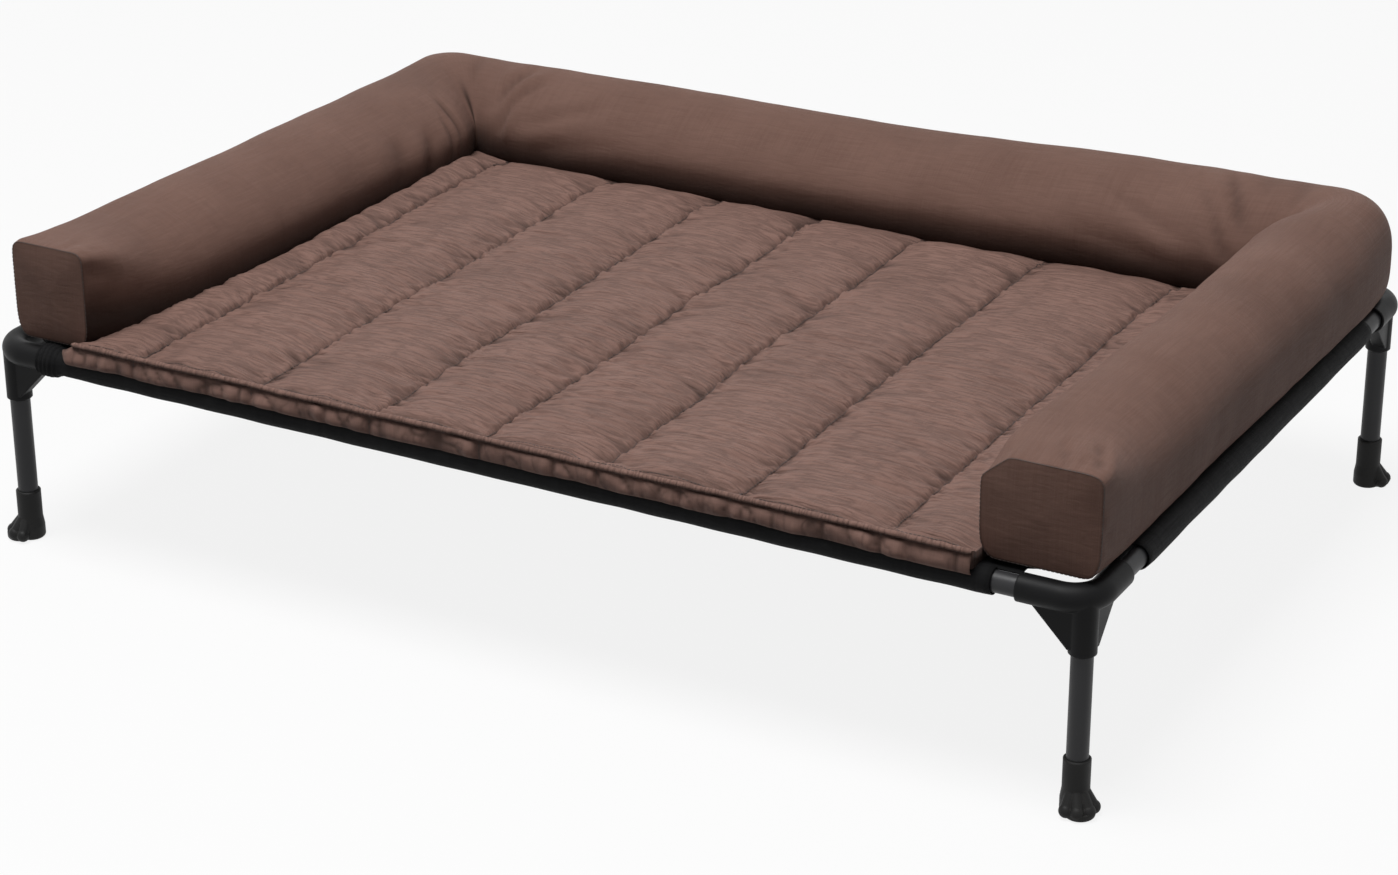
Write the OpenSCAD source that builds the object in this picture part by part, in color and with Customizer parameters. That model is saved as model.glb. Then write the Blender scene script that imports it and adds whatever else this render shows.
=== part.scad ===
// Raised pet cot: a knock-down tube frame on four legs, a taut cloth deck, and a
// lift-off quilted cover with a bolster along its left, back and right sides.
// Millimetres. X runs to the right along the front, Y to the back, Z up.
// The origin is on the floor, under the middle of the frame.

/* [Frame] */
// Distance between the axes of the left and right rails
rail_span_x = 1217; // [900:1:1500]
// Distance between the axes of the front and back rails
rail_span_y = 823; // [600:1:1000]
// Height of the rail axes above the floor
rail_height = 216; // [180:1:300]
// Outside diameter of the rail and leg tubes
tube_d = 21; // [18:0.5:25]
// Wall of the rail and leg tubes
tube_wall = 1.2; // [0.8:0.1:2]
// Length of the necked plug that joins the halves of a long rail
neck_length = 60; // [40:1:90]
// Length of the taper between a rail and its neck
neck_taper = 6; // [4:0.5:10]

/* [Corner connectors] */
// Straight part of each arm, from the bend to the arm's end
arm_straight = 38; // [34:1:60]
// Radius of the bend's centre line
bend_radius = 30; // [26:1:40]
// Wall of the arms round a rail
arm_wall = 3; // [2:0.1:5]
// Wall of the socket round a leg
socket_wall = 2.7; // [2:0.1:4.5]
// Depth of a rail in its arm
rail_insert = 34; // [20:1:38]
// Distance from the rail axes down to the socket's mouth
socket_drop = 56; // [48:1:80]
// Depth of a leg in its socket
leg_insert = 42; // [25:1:48]
// Thickness of the gussets between the arms and the socket
gusset_thickness = 14; // [6:0.5:18]
// Distance from an arm's end to the start of its gusset
gusset_setback = 5; // [3:0.5:15]
// Plain lip of the socket below the gussets
socket_lip = 6; // [3:0.5:12]
// Chamfer round the socket's mouth
mouth_chamfer = 1.5; // [0.5:0.1:2]

/* [Feet] */
// Height of a rubber foot
foot_height = 55; // [42:1:75]
// Wall of a foot's collar round the leg
foot_wall = 2.5; // [1.8:0.1:4]
// Rubber under the end of the leg
foot_floor = 8; // [4:0.5:14]
// Flare of the heel past the collar
heel_flare = 1.5; // [0.5:0.1:3]
// Reach of the toes from the leg's axis
toe_reach = 26; // [23:0.5:32]
// Radius of a toe
toe_radius = 7; // [5.5:0.1:8]
// Number of toes
toe_count = 4; // [3:1:5]
// Angle between neighbouring toes
toe_step = 34; // [28:1:40]
// Height at which the toes run out into the collar
toe_rise = 24; // [20:0.5:30]
// Setback of the outer toes behind the middle ones
toe_setback = 2; // [1:0.5:4]

/* [Deck] */
// Thickness of the deck's cloth
deck_cloth = 1.2; // [0.8:0.1:2]
// Width of the sewn lap where a sleeve carries the deck sheet
lap_width = 24; // [12:1:40]
// Drop of the deck sheet below the top of the sleeves
deck_drop = 0.6; // [0.4:0.1:2]
// Distance from the crossing of the rail axes to the sleeves' ends, at the left corners
left_cut = 71; // [71:1:130]
// Distance from the crossing of the rail axes to the sleeves' ends, at the right corners
right_cut = 106; // [91:1:130]
// Run of the front and back sleeves past that end, at the right corners
sleeve_tab = 14; // [0:1:20]

/* [Quilted pad] */
// Thickness of the pad along its sewn seams
pad_seam = 12; // [8:0.5:20]
// Rise of a channel's crown over its seams
pad_crown = 10; // [4:0.5:18]
// Thickness of the pad along its front edge
pad_edge = 16; // [12:0.5:22]
// Width of a channel
channel_pitch = 140; // [90:1:200]
// Number of sewn seams
seam_count = 7; // [3:2:9]
// Depth of the rounded front edge
edge_round = 14; // [8:1:30]
// Thickness of the cover's cloth
cover_cloth = 1.2; // [0.8:0.1:2]
// Height of the band along the front of the pad
band_height = 20; // [14:0.5:24]
// Run of the band past the pad, on the left
band_reach = 20; // [0:1:30]
// Radius of the piping along the top of the band
piping_radius = 2; // [1.5:0.1:3]

/* [Bolsters] */
// Width of a bolster
bolster_width = 106; // [80:1:140]
// Height of a bolster
bolster_height = 107; // [80:1:140]
// Setback of the bolsters' outer sides from the rail axes
bolster_setback = 4; // [0:0.5:20]
// Setback of the bolsters' front ends from the front rail's axis
front_setback = 8; // [8:0.5:30]
// Outer radius of the bolsters' corners, seen from above
corner_round = 75; // [40:1:100]
// Swell of a bolster at the middle of its length
bolster_swell = 4; // [0:0.5:6]
// Dome of a bolster's front end
end_dome = 4; // [0:0.5:8]
// Squareness of a bolster's section: 2 is an ellipse
squareness = 3; // [2:0.1:4]

/* [Hidden] */
// Fineness of the round shapes
$fn = 64;
// Radial clearance of a rail or leg in its connector
tube_fit = 0.15;
// Radial clearance of a necked plug in the next rail half
neck_fit = 0.15;
// Radial clearance of a leg in its rubber foot
foot_fit = 0.05;
// Clearance of a sleeve round its rail
sleeve_gap = 0.3;
// Clearance between soft pieces and what they rest on
rest_gap = 0.3;
// Clearance of a pad's edge under the bulge of a bolster
tuck = 1;
// Clearance between a cover and its filling
fill_gap = 0.3;
// Overlap that keeps cuts and joined shapes clean
eps = 0.01;
// Step from a toe's round tip to the slimmer ridge behind it
ridge_step = 0.8;
// Height of a gusset's root inside the arm, as a share of the arm's radius below its axis
gusset_root = 0.4;
// Depth of a gusset's foot inside the socket, as a share of the socket's radius
gusset_foot = 0.8;
// Share of a channel's crown that is left along the pad's back edge
back_crown = 0.5;
// Share of a channel's width below which a seam is left out beside the pad's side
least_channel = 0.125;
// Step in of the deck sheet's edge where a sleeve ends
hem_step = 2.5;
// Share of a bolster's height that is flattened where it rests
flat_share = 0.06;

// Tube, socket and foot radii
tube_r = tube_d / 2;
bore_r = tube_r - tube_wall;
arm_bore_r = tube_r + tube_fit;
arm_r = arm_bore_r + arm_wall;
socket_r = arm_bore_r + socket_wall;
neck_r = bore_r - neck_fit;
foot_bore_r = tube_r + foot_fit;
foot_r = foot_bore_r + foot_wall;
heel_r = foot_r + heel_flare;
sole_round = toe_radius / 2;
ridge_radius = toe_radius - ridge_step;
collar_chamfer = foot_wall / 2;

// Frame places
half_x = rail_span_x / 2;
half_y = rail_span_y / 2;
arm_length = bend_radius + arm_straight;
leg_inset = bend_radius * (1 - sqrt(1 / 2));
leg_x = half_x - leg_inset;
leg_y = half_y - leg_inset;
mouth_z = rail_height - socket_drop;
leg_top_z = mouth_z + leg_insert;
rail_end_x = half_x - arm_length + rail_insert;
rail_end_y = half_y - arm_length + rail_insert;

// Deck places
sleeve_bore_r = tube_r + sleeve_gap;
sleeve_r = sleeve_bore_r + deck_cloth;
deck_top = rail_height + sleeve_r - deck_drop;
sheet_bottom = deck_top - deck_cloth;
sheet_edge = sqrt(pow(sleeve_r, 2) - pow(sheet_bottom - rail_height, 2)) + rest_gap;

// Cover places
cover_z = rail_height + sleeve_r + rest_gap;
cover_front = -(half_y + sleeve_r + rest_gap);
nest_x = half_x - bolster_setback - bolster_width;
nest_y = half_y - bolster_setback - bolster_width;
bolster_front = -(half_y - front_setback);
pad_half = nest_x + tuck;
pad_back = nest_y + tuck;
band_top = cover_z + pad_edge;
band_left = -pad_half - band_reach;
band_length = 2 * pad_half + band_reach;

// Distance of the corner turn's centre inside the nest's corner
fan_gap = 3;
// Angle of the mitre between two bolsters
mitre_angle = 45;
// Points of the bolster's section, of its length and of its corner turn
section_points = 20;
length_steps = 7;
turn_steps = 4;
// Steps across a channel of the pad and along it
channel_steps = 4;
row_steps = 5;

// Colours
moulding = "#1d1d1e";
tubing = "#2d2e30";
rubber = "#161616";
deck_black = "#1c1d1d";
cover_brown = "#7a645c";
fibre = "#e8e4dc";

// Mirrors what is built at the right back corner to another corner
module at_corner(side_x, side_y) {
    mirror([side_x < 0 ? 1 : 0, 0, 0])
        mirror([0, side_y < 0 ? 1 : 0, 0])
            children();
}

// Lays a shape built along Z out along X or along Y
module along_x() { rotate([0, 90, 0]) children(); }
module along_y() { rotate([-90, 0, 0]) children(); }

// Web between one arm and the leg socket, in the plane of the arm, from the leg's axis
module gusset() {
    reach = arm_length - leg_inset - gusset_setback;
    root = -arm_r * gusset_root;
    rotate([90, 0, 0])
        linear_extrude(height = gusset_thickness, center = true)
            polygon([
                [0, root],
                [-reach, root],
                [-socket_r * gusset_foot, socket_lip - socket_drop],
                [0, socket_lip - socket_drop]
            ]);
}

// Three-way moulded connector, built at the right back corner
module corner_connector() {
    arm_end_x = half_x - arm_length;
    arm_end_y = half_y - arm_length;
    bend_x = half_x - bend_radius;
    bend_y = half_y - bend_radius;
    difference() {
        union() {
            translate([bend_x, bend_y, rail_height])
                rotate_extrude(angle = 90)
                    translate([bend_radius, 0])
                        circle(r = arm_r);
            translate([arm_end_x, half_y, rail_height])
                along_x()
                    cylinder(r = arm_r, h = arm_straight);
            translate([half_x, arm_end_y, rail_height])
                along_y()
                    cylinder(r = arm_r, h = arm_straight);
            translate([leg_x, leg_y, 0])
                rotate_extrude()
                    polygon([
                        [0, mouth_z],
                        [socket_r - mouth_chamfer, mouth_z],
                        [socket_r, mouth_z + mouth_chamfer],
                        [socket_r, rail_height],
                        [0, rail_height]
                    ]);
            translate([leg_x, leg_y + leg_inset / 2, rail_height])
                gusset();
            translate([leg_x + leg_inset / 2, leg_y, rail_height])
                rotate([0, 0, 90])
                    gusset();
        }
        translate([arm_end_x - eps, half_y, rail_height])
            along_x()
                cylinder(r = arm_bore_r, h = rail_insert + eps);
        translate([half_x, arm_end_y - eps, rail_height])
            along_y()
                cylinder(r = arm_bore_r, h = rail_insert + eps);
        translate([leg_x, leg_y, mouth_z - eps])
            cylinder(r = arm_bore_r, h = leg_insert + eps);
    }
}

module front_left_corner() { color(moulding) at_corner(-1, -1) corner_connector(); }
module front_right_corner() { color(moulding) at_corner(1, -1) corner_connector(); }
module back_left_corner() { color(moulding) at_corner(-1, 1) corner_connector(); }
module back_right_corner() { color(moulding) at_corner(1, 1) corner_connector(); }

// Plain tube standing on its end
module plain_tube(length) {
    difference() {
        cylinder(r = tube_r, h = length);
        translate([0, 0, -eps])
            cylinder(r = bore_r, h = length + 2 * eps);
    }
}

// Tube whose far end is necked down to plug into the next tube
module necked_tube(length) {
    neck_bore_r = neck_r - tube_wall;
    rotate_extrude()
        polygon([
            [bore_r, 0],
            [tube_r, 0],
            [tube_r, length - neck_taper],
            [neck_r, length],
            [neck_r, length + neck_length],
            [neck_bore_r, length + neck_length],
            [neck_bore_r, length],
            [bore_r, length - neck_taper]
        ]);
}

// Left half of a long rail, whose neck crosses the middle
module long_rail_left(side_y) {
    translate([-rail_end_x, side_y * half_y, rail_height])
        along_x()
            necked_tube(rail_end_x);
}

// Right half of a long rail
module long_rail_right(side_y) {
    translate([0, side_y * half_y, rail_height])
        along_x()
            plain_tube(rail_end_x);
}

// Side rail, in one length
module side_rail(side_x) {
    translate([side_x * half_x, -rail_end_y, rail_height])
        along_y()
            plain_tube(2 * rail_end_y);
}

module front_rail_left() { color(tubing) long_rail_left(-1); }
module front_rail_right() { color(tubing) long_rail_right(-1); }
module back_rail_left() { color(tubing) long_rail_left(1); }
module back_rail_right() { color(tubing) long_rail_right(1); }
module left_rail() { color(tubing) side_rail(-1); }
module right_rail() { color(tubing) side_rail(1); }

// Leg tube, from the floor of its foot to the top of its socket
module leg(side_x, side_y) {
    translate([side_x * leg_x, side_y * leg_y, foot_floor])
        plain_tube(leg_top_z - foot_floor);
}

module front_left_leg() { color(tubing) leg(-1, -1); }
module front_right_leg() { color(tubing) leg(1, -1); }
module back_left_leg() { color(tubing) leg(-1, 1); }
module back_right_leg() { color(tubing) leg(1, 1); }

// Round body with a quarter-round at the bottom edge
module rounded_disc(radius, height) {
    rotate_extrude() {
        square([radius - sole_round, height]);
        translate([0, sole_round])
            square([radius, height - sole_round]);
        translate([radius - sole_round, sole_round])
            circle(r = sole_round);
    }
}

// One toe: a round tip on the floor and a ridge up to the collar
module toe(reach) {
    tip_x = reach - toe_radius;
    tip_z = toe_radius + rest_gap;
    back_x = tip_x - (foot_r - toe_radius);
    rise = toe_rise - tip_z;
    translate([tip_x, 0, tip_z]) {
        sphere(r = toe_radius);
        rotate([0, -atan2(back_x, rise), 0])
            cylinder(r = ridge_radius, h = norm([back_x, rise]));
    }
}

// Rubber foot shaped as a paw, with its toes along X
module paw_foot() {
    difference() {
        union() {
            rounded_disc(heel_r, toe_radius * 2);
            rotate_extrude()
                polygon([
                    [0, toe_radius],
                    [heel_r, toe_radius * 2],
                    [foot_r, toe_rise],
                    [foot_r, foot_height - collar_chamfer],
                    [foot_r - collar_chamfer, foot_height],
                    [0, foot_height]
                ]);
            translate([toe_reach - heel_r - rest_gap, 0, 0])
                rounded_disc(heel_r, toe_radius);
            for (i = [0:toe_count - 1])
                let (from_middle = i - (toe_count - 1) / 2)
                    rotate([0, 0, from_middle * toe_step])
                        toe(toe_reach - (abs(from_middle) - 0.5) * toe_setback);
        }
        translate([0, 0, foot_floor])
            cylinder(r = foot_bore_r, h = foot_height);
    }
}

// Foot on its leg, with its toes pointing out past the corner
module foot(side_x, side_y) {
    translate([side_x * leg_x, side_y * leg_y, 0])
        rotate([0, 0, atan2(side_y, side_x)])
            paw_foot();
}

module front_left_foot() { color(rubber) foot(-1, -1); }
module front_right_foot() { color(rubber) foot(1, -1); }
module back_left_foot() { color(rubber) foot(-1, 1); }
module back_right_foot() { color(rubber) foot(1, 1); }

// Cloth cut away outside the round corner of the deck sheet, at the back right corner
module corner_waste(cut) {
    translate([half_x - cut, half_y - cut, sheet_bottom - eps])
        difference() {
            cube([cut, cut, deck_cloth + 2 * eps]);
            translate([0, 0, -eps])
                cylinder(r = cut - sheet_edge - hem_step, h = deck_cloth + 4 * eps);
        }
}

// Deck sheet with round corners between the ends of the sleeves
module deck_sheet() {
    color(deck_black)
        difference() {
            translate([sheet_edge - half_x, sheet_edge - half_y, sheet_bottom])
                cube([rail_span_x - 2 * sheet_edge, rail_span_y - 2 * sheet_edge, deck_cloth]);
            for (side_y = [-1, 1]) {
                at_corner(-1, side_y) corner_waste(left_cut);
                at_corner(1, side_y) corner_waste(right_cut);
            }
        }
}

// Sleeve round a rail that stands along Z, with its sewn lap towards +X,
// whose top face is level with the underside of the deck sheet
module sleeve(length) {
    difference() {
        union() {
            cylinder(r = sleeve_r, h = length);
            translate([0, sheet_bottom - deck_cloth - rail_height, 0])
                cube([sleeve_r + lap_width, deck_cloth, length]);
        }
        translate([0, 0, -eps])
            cylinder(r = sleeve_bore_r, h = length + 2 * eps);
    }
}

// Sleeve of the front rail, which is mirrored to the back
module long_sleeve(side_y) {
    at_corner(1, -side_y)
        translate([left_cut - half_x, -half_y, rail_height])
            rotate([90, 0, 90])
                sleeve(rail_span_x - left_cut - right_cut + sleeve_tab);
}

// Sleeve of the left or the right rail
module side_sleeve(side_x, cut) {
    at_corner(-side_x, 1)
        translate([-half_x, half_y - cut, rail_height])
            rotate([90, 0, 0])
                sleeve(rail_span_y - 2 * cut);
}

module front_sleeve() { color(deck_black) long_sleeve(-1); }
module back_sleeve() { color(deck_black) long_sleeve(1); }
module left_sleeve() { color(deck_black) side_sleeve(-1, left_cut); }
module right_sleeve() { color(deck_black) side_sleeve(1, right_cut); }

// Two triangles of a quad
function quad(a, b, c, d) = [[a, b, c], [a, c, d]];

// Joins a list of lists into one list
function flat(lists) = [for (list = lists) each list];

// Places of the pad's sewn seams, and of both its sides
function pad_lines() = concat(
    [-pad_half],
    [for (i = [0:seam_count - 1])
        let (x = (i - (seam_count - 1) / 2) * channel_pitch)
            if (abs(x) < pad_half - channel_pitch * least_channel) x],
    [pad_half]
);

// Points across the pad as [x, share of the crown there]
function pad_columns() =
    let (lines = pad_lines())
        concat(
            flat([for (i = [0:len(lines) - 2])
                [for (k = [0:channel_steps - 1])
                    let (t = k / channel_steps)
                        [lines[i] + t * (lines[i + 1] - lines[i]), sin(180 * t)]]]),
            [[pad_half, 0]]
        );

// Points along the pad as [y, share of the crown there]: the front edge is rounded over
function pad_rows() = concat(
    [[cover_front, 0]],
    [for (k = [0:row_steps])
        let (first = cover_front + edge_round)
            [first + (pad_back - first) * k / row_steps, k == row_steps ? back_crown : 1]]
);

// Grid of one face of the pad, drawn in on all sides by an inset
function pad_grid(inset, is_top) = [
    for (row = pad_rows())
        for (column = pad_columns())
            let (
                is_front = row[0] == cover_front,
                thick = is_front ? pad_edge : pad_seam + pad_crown * column[1] * row[1],
                x = max(-pad_half + inset, min(pad_half - inset, column[0])),
                y = max(cover_front + inset, min(pad_back - inset, row[0]))
            )
                [x, y, is_top ? cover_z + thick - inset : cover_z + inset]
];

// Closed pad with its sewn channels, drawn in on all sides by an inset
module pad_form(inset) {
    across = len(pad_columns());
    rows = len(pad_rows());
    top = pad_grid(inset, true);
    bottom = pad_grid(inset, false);
    half = across * rows;
    cells = [for (j = [0:rows - 2]) for (i = [0:across - 2]) j * across + i];
    front_cells = [for (i = [0:across - 2]) i];
    back_cells = [for (i = [0:across - 2]) (rows - 1) * across + i];
    left_cells = [for (j = [0:rows - 2]) j * across];
    right_cells = [for (j = [0:rows - 2]) j * across + across - 1];
    polyhedron(
        points = concat(top, bottom),
        faces = concat(
            flat([for (c = cells) quad(c, c + across, c + across + 1, c + 1)]),
            flat([for (c = cells) quad(half + c, half + c + 1, half + c + across + 1, half + c + across)]),
            flat([for (c = front_cells) quad(c, c + 1, half + c + 1, half + c)]),
            flat([for (c = back_cells) quad(c, half + c, half + c + 1, c + 1)]),
            flat([for (c = left_cells) quad(c, half + c, half + c + across, c + across)]),
            flat([for (c = right_cells) quad(c, c + across, half + c + across, half + c)])
        )
    );
}

// Cover of the quilted pad
module quilted_pad() {
    color(cover_brown)
        difference() {
            pad_form(0);
            pad_form(cover_cloth);
        }
}

// Wadding quilted into the pad's channels
module pad_wadding() { color(fibre) pad_form(cover_cloth + fill_gap); }

// Band that hangs from the pad's front edge over the front rail, as far as the sleeve's left end
module pad_front_band() {
    color(cover_brown)
        translate([band_left, cover_front - cover_cloth, band_top - band_height])
            cube([band_length, cover_cloth, band_height]);
}

// Piping sewn along the top of the band
module front_piping() {
    color(cover_brown)
        translate([band_left, cover_front - cover_cloth / 2, band_top + piping_radius + rest_gap])
            along_x()
                cylinder(r = piping_radius, h = band_length);
}

// Power of a number that keeps its sign
function signed_power(value, power) = sign(value) * pow(abs(value), power);

// Section of a bolster as [share of the width from the inner side, share of the height],
// flat where it rests
function bolster_section() = [
    for (i = [0:section_points - 1])
        let (
            angle = 360 * (i + 0.5) / section_points,
            across = signed_power(cos(angle), 2 / squareness),
            up = signed_power(sin(angle), 2 / squareness)
        )
            [(1 + across) / 2, max(0, ((1 + up) / 2 - flat_share) / (1 - flat_share))]
];

// Width of a bolster at an angle of its corner turn, from the turn's centre
function turn_width(angle) =
    let (
        full = bolster_width + fan_gap,
        straight = full - corner_round,
        lean = min(angle, 90 - angle),
        reach = straight * (cos(angle) + sin(angle)),
        on_straight = full * tan(lean) <= straight
    )
        on_straight ? full / cos(lean)
            : reach + sqrt(pow(reach, 2) - 2 * pow(straight, 2) + pow(corner_round, 2));

// One ring of a bolster: a section that stands at a place, faces outwards along a
// direction and spans a width from that place, drawn in by an inset
function bolster_ring(place, outward, gap, width, swell, inset) = [
    for (p = bolster_section())
        let (
            centred = (p[0] - 0.5) * (width + swell - 2 * inset),
            across = gap + width / 2 + centred,
            up = cover_z + inset + p[1] * (bolster_height - 2 * inset)
        )
            [place[0] + outward[0] * across, place[1] + outward[1] * across, up]
];

// Rings of a side bolster on the left, from its front end to its mitre
function side_rings(inset) =
    let (
        pivot = [fan_gap - nest_x, nest_y - fan_gap],
        start = bolster_front + inset,
        mitre_pull = inset * sqrt(2)
    )
        concat(
            [for (k = [0:length_steps - 1])
                let (t = k / length_steps)
                    bolster_ring(
                        [pivot[0], start + (pivot[1] - mitre_pull - start) * t], [-1, 0],
                        fan_gap, bolster_width, bolster_swell * sin(180 * t), inset)],
            [for (k = [0:turn_steps])
                let (angle = mitre_angle * k / turn_steps)
                    bolster_ring(
                        [pivot[0], pivot[1] - mitre_pull], [-cos(angle), sin(angle)],
                        fan_gap, turn_width(angle) - fan_gap, 0, inset)]
        );

// Rings of the back bolster, from its left mitre to its right one
function back_rings(inset) =
    let (
        pivot = [fan_gap - nest_x, nest_y - fan_gap],
        mitre_pull = inset * sqrt(2),
        turn_x = pivot[0] + mitre_pull
    )
        concat(
            [for (k = [0:turn_steps])
                let (angle = mitre_angle + mitre_angle * k / turn_steps)
                    bolster_ring(
                        [turn_x, pivot[1]], [-cos(angle), sin(angle)],
                        fan_gap, turn_width(angle) - fan_gap, 0, inset)],
            [for (k = [1:length_steps - 1])
                let (t = k / length_steps)
                    bolster_ring(
                        [turn_x * (1 - 2 * t), pivot[1]], [0, 1],
                        fan_gap, bolster_width, bolster_swell * sin(180 * t), inset)],
            [for (k = [turn_steps:-1:0])
                let (angle = mitre_angle + mitre_angle * k / turn_steps)
                    bolster_ring(
                        [-turn_x, pivot[1]], [cos(angle), sin(angle)],
                        fan_gap, turn_width(angle) - fan_gap, 0, inset)]
        );

// Sum of one coordinate over a list of points
function sum_axis(points, axis, i = 0) =
    i == len(points) ? 0 : points[i][axis] + sum_axis(points, axis, i + 1);

// Middle of a ring, moved by a dome
function ring_middle(ring, dome) = [
    for (axis = [0:2]) sum_axis(ring, axis) / len(ring) + dome[axis]
];

// Closed form through rings, with a fan of triangles on each end
module ring_form(rings, start_dome, end_dome_vector) {
    count = section_points;
    last = len(rings) - 1;
    start_middle = count * len(rings);
    end_middle = start_middle + 1;
    polyhedron(
        points = concat(
            flat(rings),
            [ring_middle(rings[0], start_dome)],
            [ring_middle(rings[last], end_dome_vector)]
        ),
        faces = concat(
            flat([for (r = [0:last - 1])
                flat([for (i = [0:count - 1])
                    let (j = (i + 1) % count)
                        quad(r * count + i, (r + 1) * count + i, (r + 1) * count + j, r * count + j)])]),
            [for (i = [0:count - 1]) [start_middle, i, (i + 1) % count]],
            [for (i = [0:count - 1]) [end_middle, last * count + (i + 1) % count, last * count + i]]
        )
    );
}

// Side bolster on the left, drawn in by an inset
module side_bolster_form(inset) {
    ring_form(side_rings(inset), [0, -end_dome, 0], [0, 0, 0]);
}

// Back bolster, drawn in by an inset
module back_bolster_form(inset) {
    ring_form(back_rings(inset), [0, 0, 0], [0, 0, 0]);
}

// Cover of a side bolster
module side_bolster_cover(side_x) {
    at_corner(-side_x, 1)
        difference() {
            side_bolster_form(0);
            side_bolster_form(cover_cloth);
        }
}

module left_bolster() { color(cover_brown) side_bolster_cover(-1); }
module right_bolster() { color(cover_brown) side_bolster_cover(1); }

// Cover of the back bolster
module back_bolster() {
    color(cover_brown)
        difference() {
            back_bolster_form(0);
            back_bolster_form(cover_cloth);
        }
}

module left_bolster_filling() { color(fibre) side_bolster_form(cover_cloth + fill_gap); }
module right_bolster_filling() { color(fibre) at_corner(-1, 1) side_bolster_form(cover_cloth + fill_gap); }
module back_bolster_filling() { color(fibre) back_bolster_form(cover_cloth + fill_gap); }

front_left_corner();
front_right_corner();
back_left_corner();
back_right_corner();
front_rail_left();
front_rail_right();
back_rail_left();
back_rail_right();
left_rail();
right_rail();
front_left_leg();
front_right_leg();
back_left_leg();
back_right_leg();
front_left_foot();
front_right_foot();
back_left_foot();
back_right_foot();
deck_sheet();
front_sleeve();
back_sleeve();
left_sleeve();
right_sleeve();
quilted_pad();
pad_wadding();
pad_front_band();
front_piping();
left_bolster();
back_bolster();
right_bolster();
left_bolster_filling();
back_bolster_filling();
right_bolster_filling();
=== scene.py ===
"""Looks of a raised cot: a tube frame, a stretched cloth deck and a quilted cover with a roll on three sides.

Sizes are in millimetres until a mesh is made. X runs along the cot, -Y is its open front and Z is up.
"""

import logging
import math
from dataclasses import dataclass, field, replace
from enum import Enum
from itertools import product

import bmesh
import bpy
import numpy as np
from mathutils import Matrix, Vector


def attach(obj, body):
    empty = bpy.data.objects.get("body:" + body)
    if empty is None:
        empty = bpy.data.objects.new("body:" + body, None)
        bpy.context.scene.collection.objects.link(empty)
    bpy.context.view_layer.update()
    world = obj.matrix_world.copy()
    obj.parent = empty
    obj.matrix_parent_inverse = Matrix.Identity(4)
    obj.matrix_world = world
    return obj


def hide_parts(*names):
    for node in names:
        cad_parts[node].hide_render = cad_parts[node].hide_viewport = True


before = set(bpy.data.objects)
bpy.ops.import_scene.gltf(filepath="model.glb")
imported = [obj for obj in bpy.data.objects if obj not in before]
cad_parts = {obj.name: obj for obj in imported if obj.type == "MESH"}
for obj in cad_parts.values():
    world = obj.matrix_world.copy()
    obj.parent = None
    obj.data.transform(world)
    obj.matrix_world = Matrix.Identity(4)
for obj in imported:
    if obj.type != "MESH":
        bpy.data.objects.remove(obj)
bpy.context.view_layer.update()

log = logging.getLogger("cot")
Array = np.ndarray
Pair = tuple[float, float]
MM = 0.001
MAP = "cloth_map"
# Name of the mesh attribute that carries painted shade: how much the cloth's colour is darkened in folds,
# creases and crevices.
PAINTED_SHADE = "fold"
WHITE = (1.0, 1.0, 1.0, 1.0)


class Slot(Enum):
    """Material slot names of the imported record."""

    DECK = "deck_cloth"
    QUILT = "quilt_cloth"
    BOLSTER = "bolster_cloth"


@dataclass(frozen=True)
class Plan:
    """Main sizes that several pieces share."""

    rail_x: float = 608.5
    rail_y: float = 411.5
    rail_z: float = 216.0
    arm_end: float = 540.5
    sleeve_radius: float = 12.0
    cover_z: float = 228.3
    nest_x: float = 498.5
    nest_y: float = 301.5
    cover_front: float = -423.8
    band_left: float = -519.5
    piping_left: float = -508.0
    corners: tuple[str, ...] = ("front_left", "front_right", "back_left", "back_right")


def smooth_step(low: float, high: float, value: Array) -> Array:
    """Blend that rises smoothly from 0 to 1.

    Args:
        low: Value at which the blend starts.
        high: Value at which it is full.
        value: Where it is read.

    Returns:
        The blend, from 0 to 1.
    """
    share = np.clip((np.asarray(value, dtype=float) - low) / (high - low), 0.0, 1.0)
    return share * share * (3.0 - 2.0 * share)


def lattice_noise(places: Array, seed: int) -> Array:
    """Smooth noise with one lattice cell to a unit, the same on every run.

    Args:
        places: Points, one row each, in any number of axes up to three.
        seed: Which noise it is.

    Returns:
        One value from -1 to 1 for each point.
    """
    primes = np.array([73856093, 19349663, 83492791], dtype=np.int64)
    cell = np.floor(places).astype(np.int64)
    part = places - cell
    fade = part * part * (3.0 - 2.0 * part)
    total = np.zeros(len(places))
    for corner in product((0, 1), repeat=places.shape[1]):
        key = (((cell + corner) * primes[: places.shape[1]]).sum(axis=1) + seed * 7919) & 0x7FFFFFF
        key = ((key ^ (key >> 13)) * 668265263) & 0x7FFFFFFF
        key = ((key ^ (key >> 15)) * 374761393) & 0x7FFFFFFF
        value = ((key >> 8) & 0xFFFF) / 32767.5 - 1.0
        total += value * np.prod(np.where(corner, fade, 1.0 - fade), axis=1)
    return total


def noise_at(first: Array, second: Array, size: Pair, seed: int) -> Array:
    """Smooth noise over two coordinates.

    Args:
        first: First coordinate.
        second: Second coordinate.
        size: Length of a bump along each coordinate.
        seed: Which noise it is.

    Returns:
        One value from -1 to 1 for each point.
    """
    first, second = np.broadcast_arrays(first, second)
    places = np.stack([np.ravel(first) / size[0], np.ravel(second) / size[1]], axis=1)
    return lattice_noise(places, seed).reshape(first.shape)


@dataclass(frozen=True)
class Ripple:
    """Smooth noise of one height and size."""

    height: float
    size: Pair
    seed: int

    def at(self, first: Array, second: Array) -> Array:
        """Rise at points with two coordinates."""
        return self.height * noise_at(first, second, self.size, self.seed)


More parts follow.
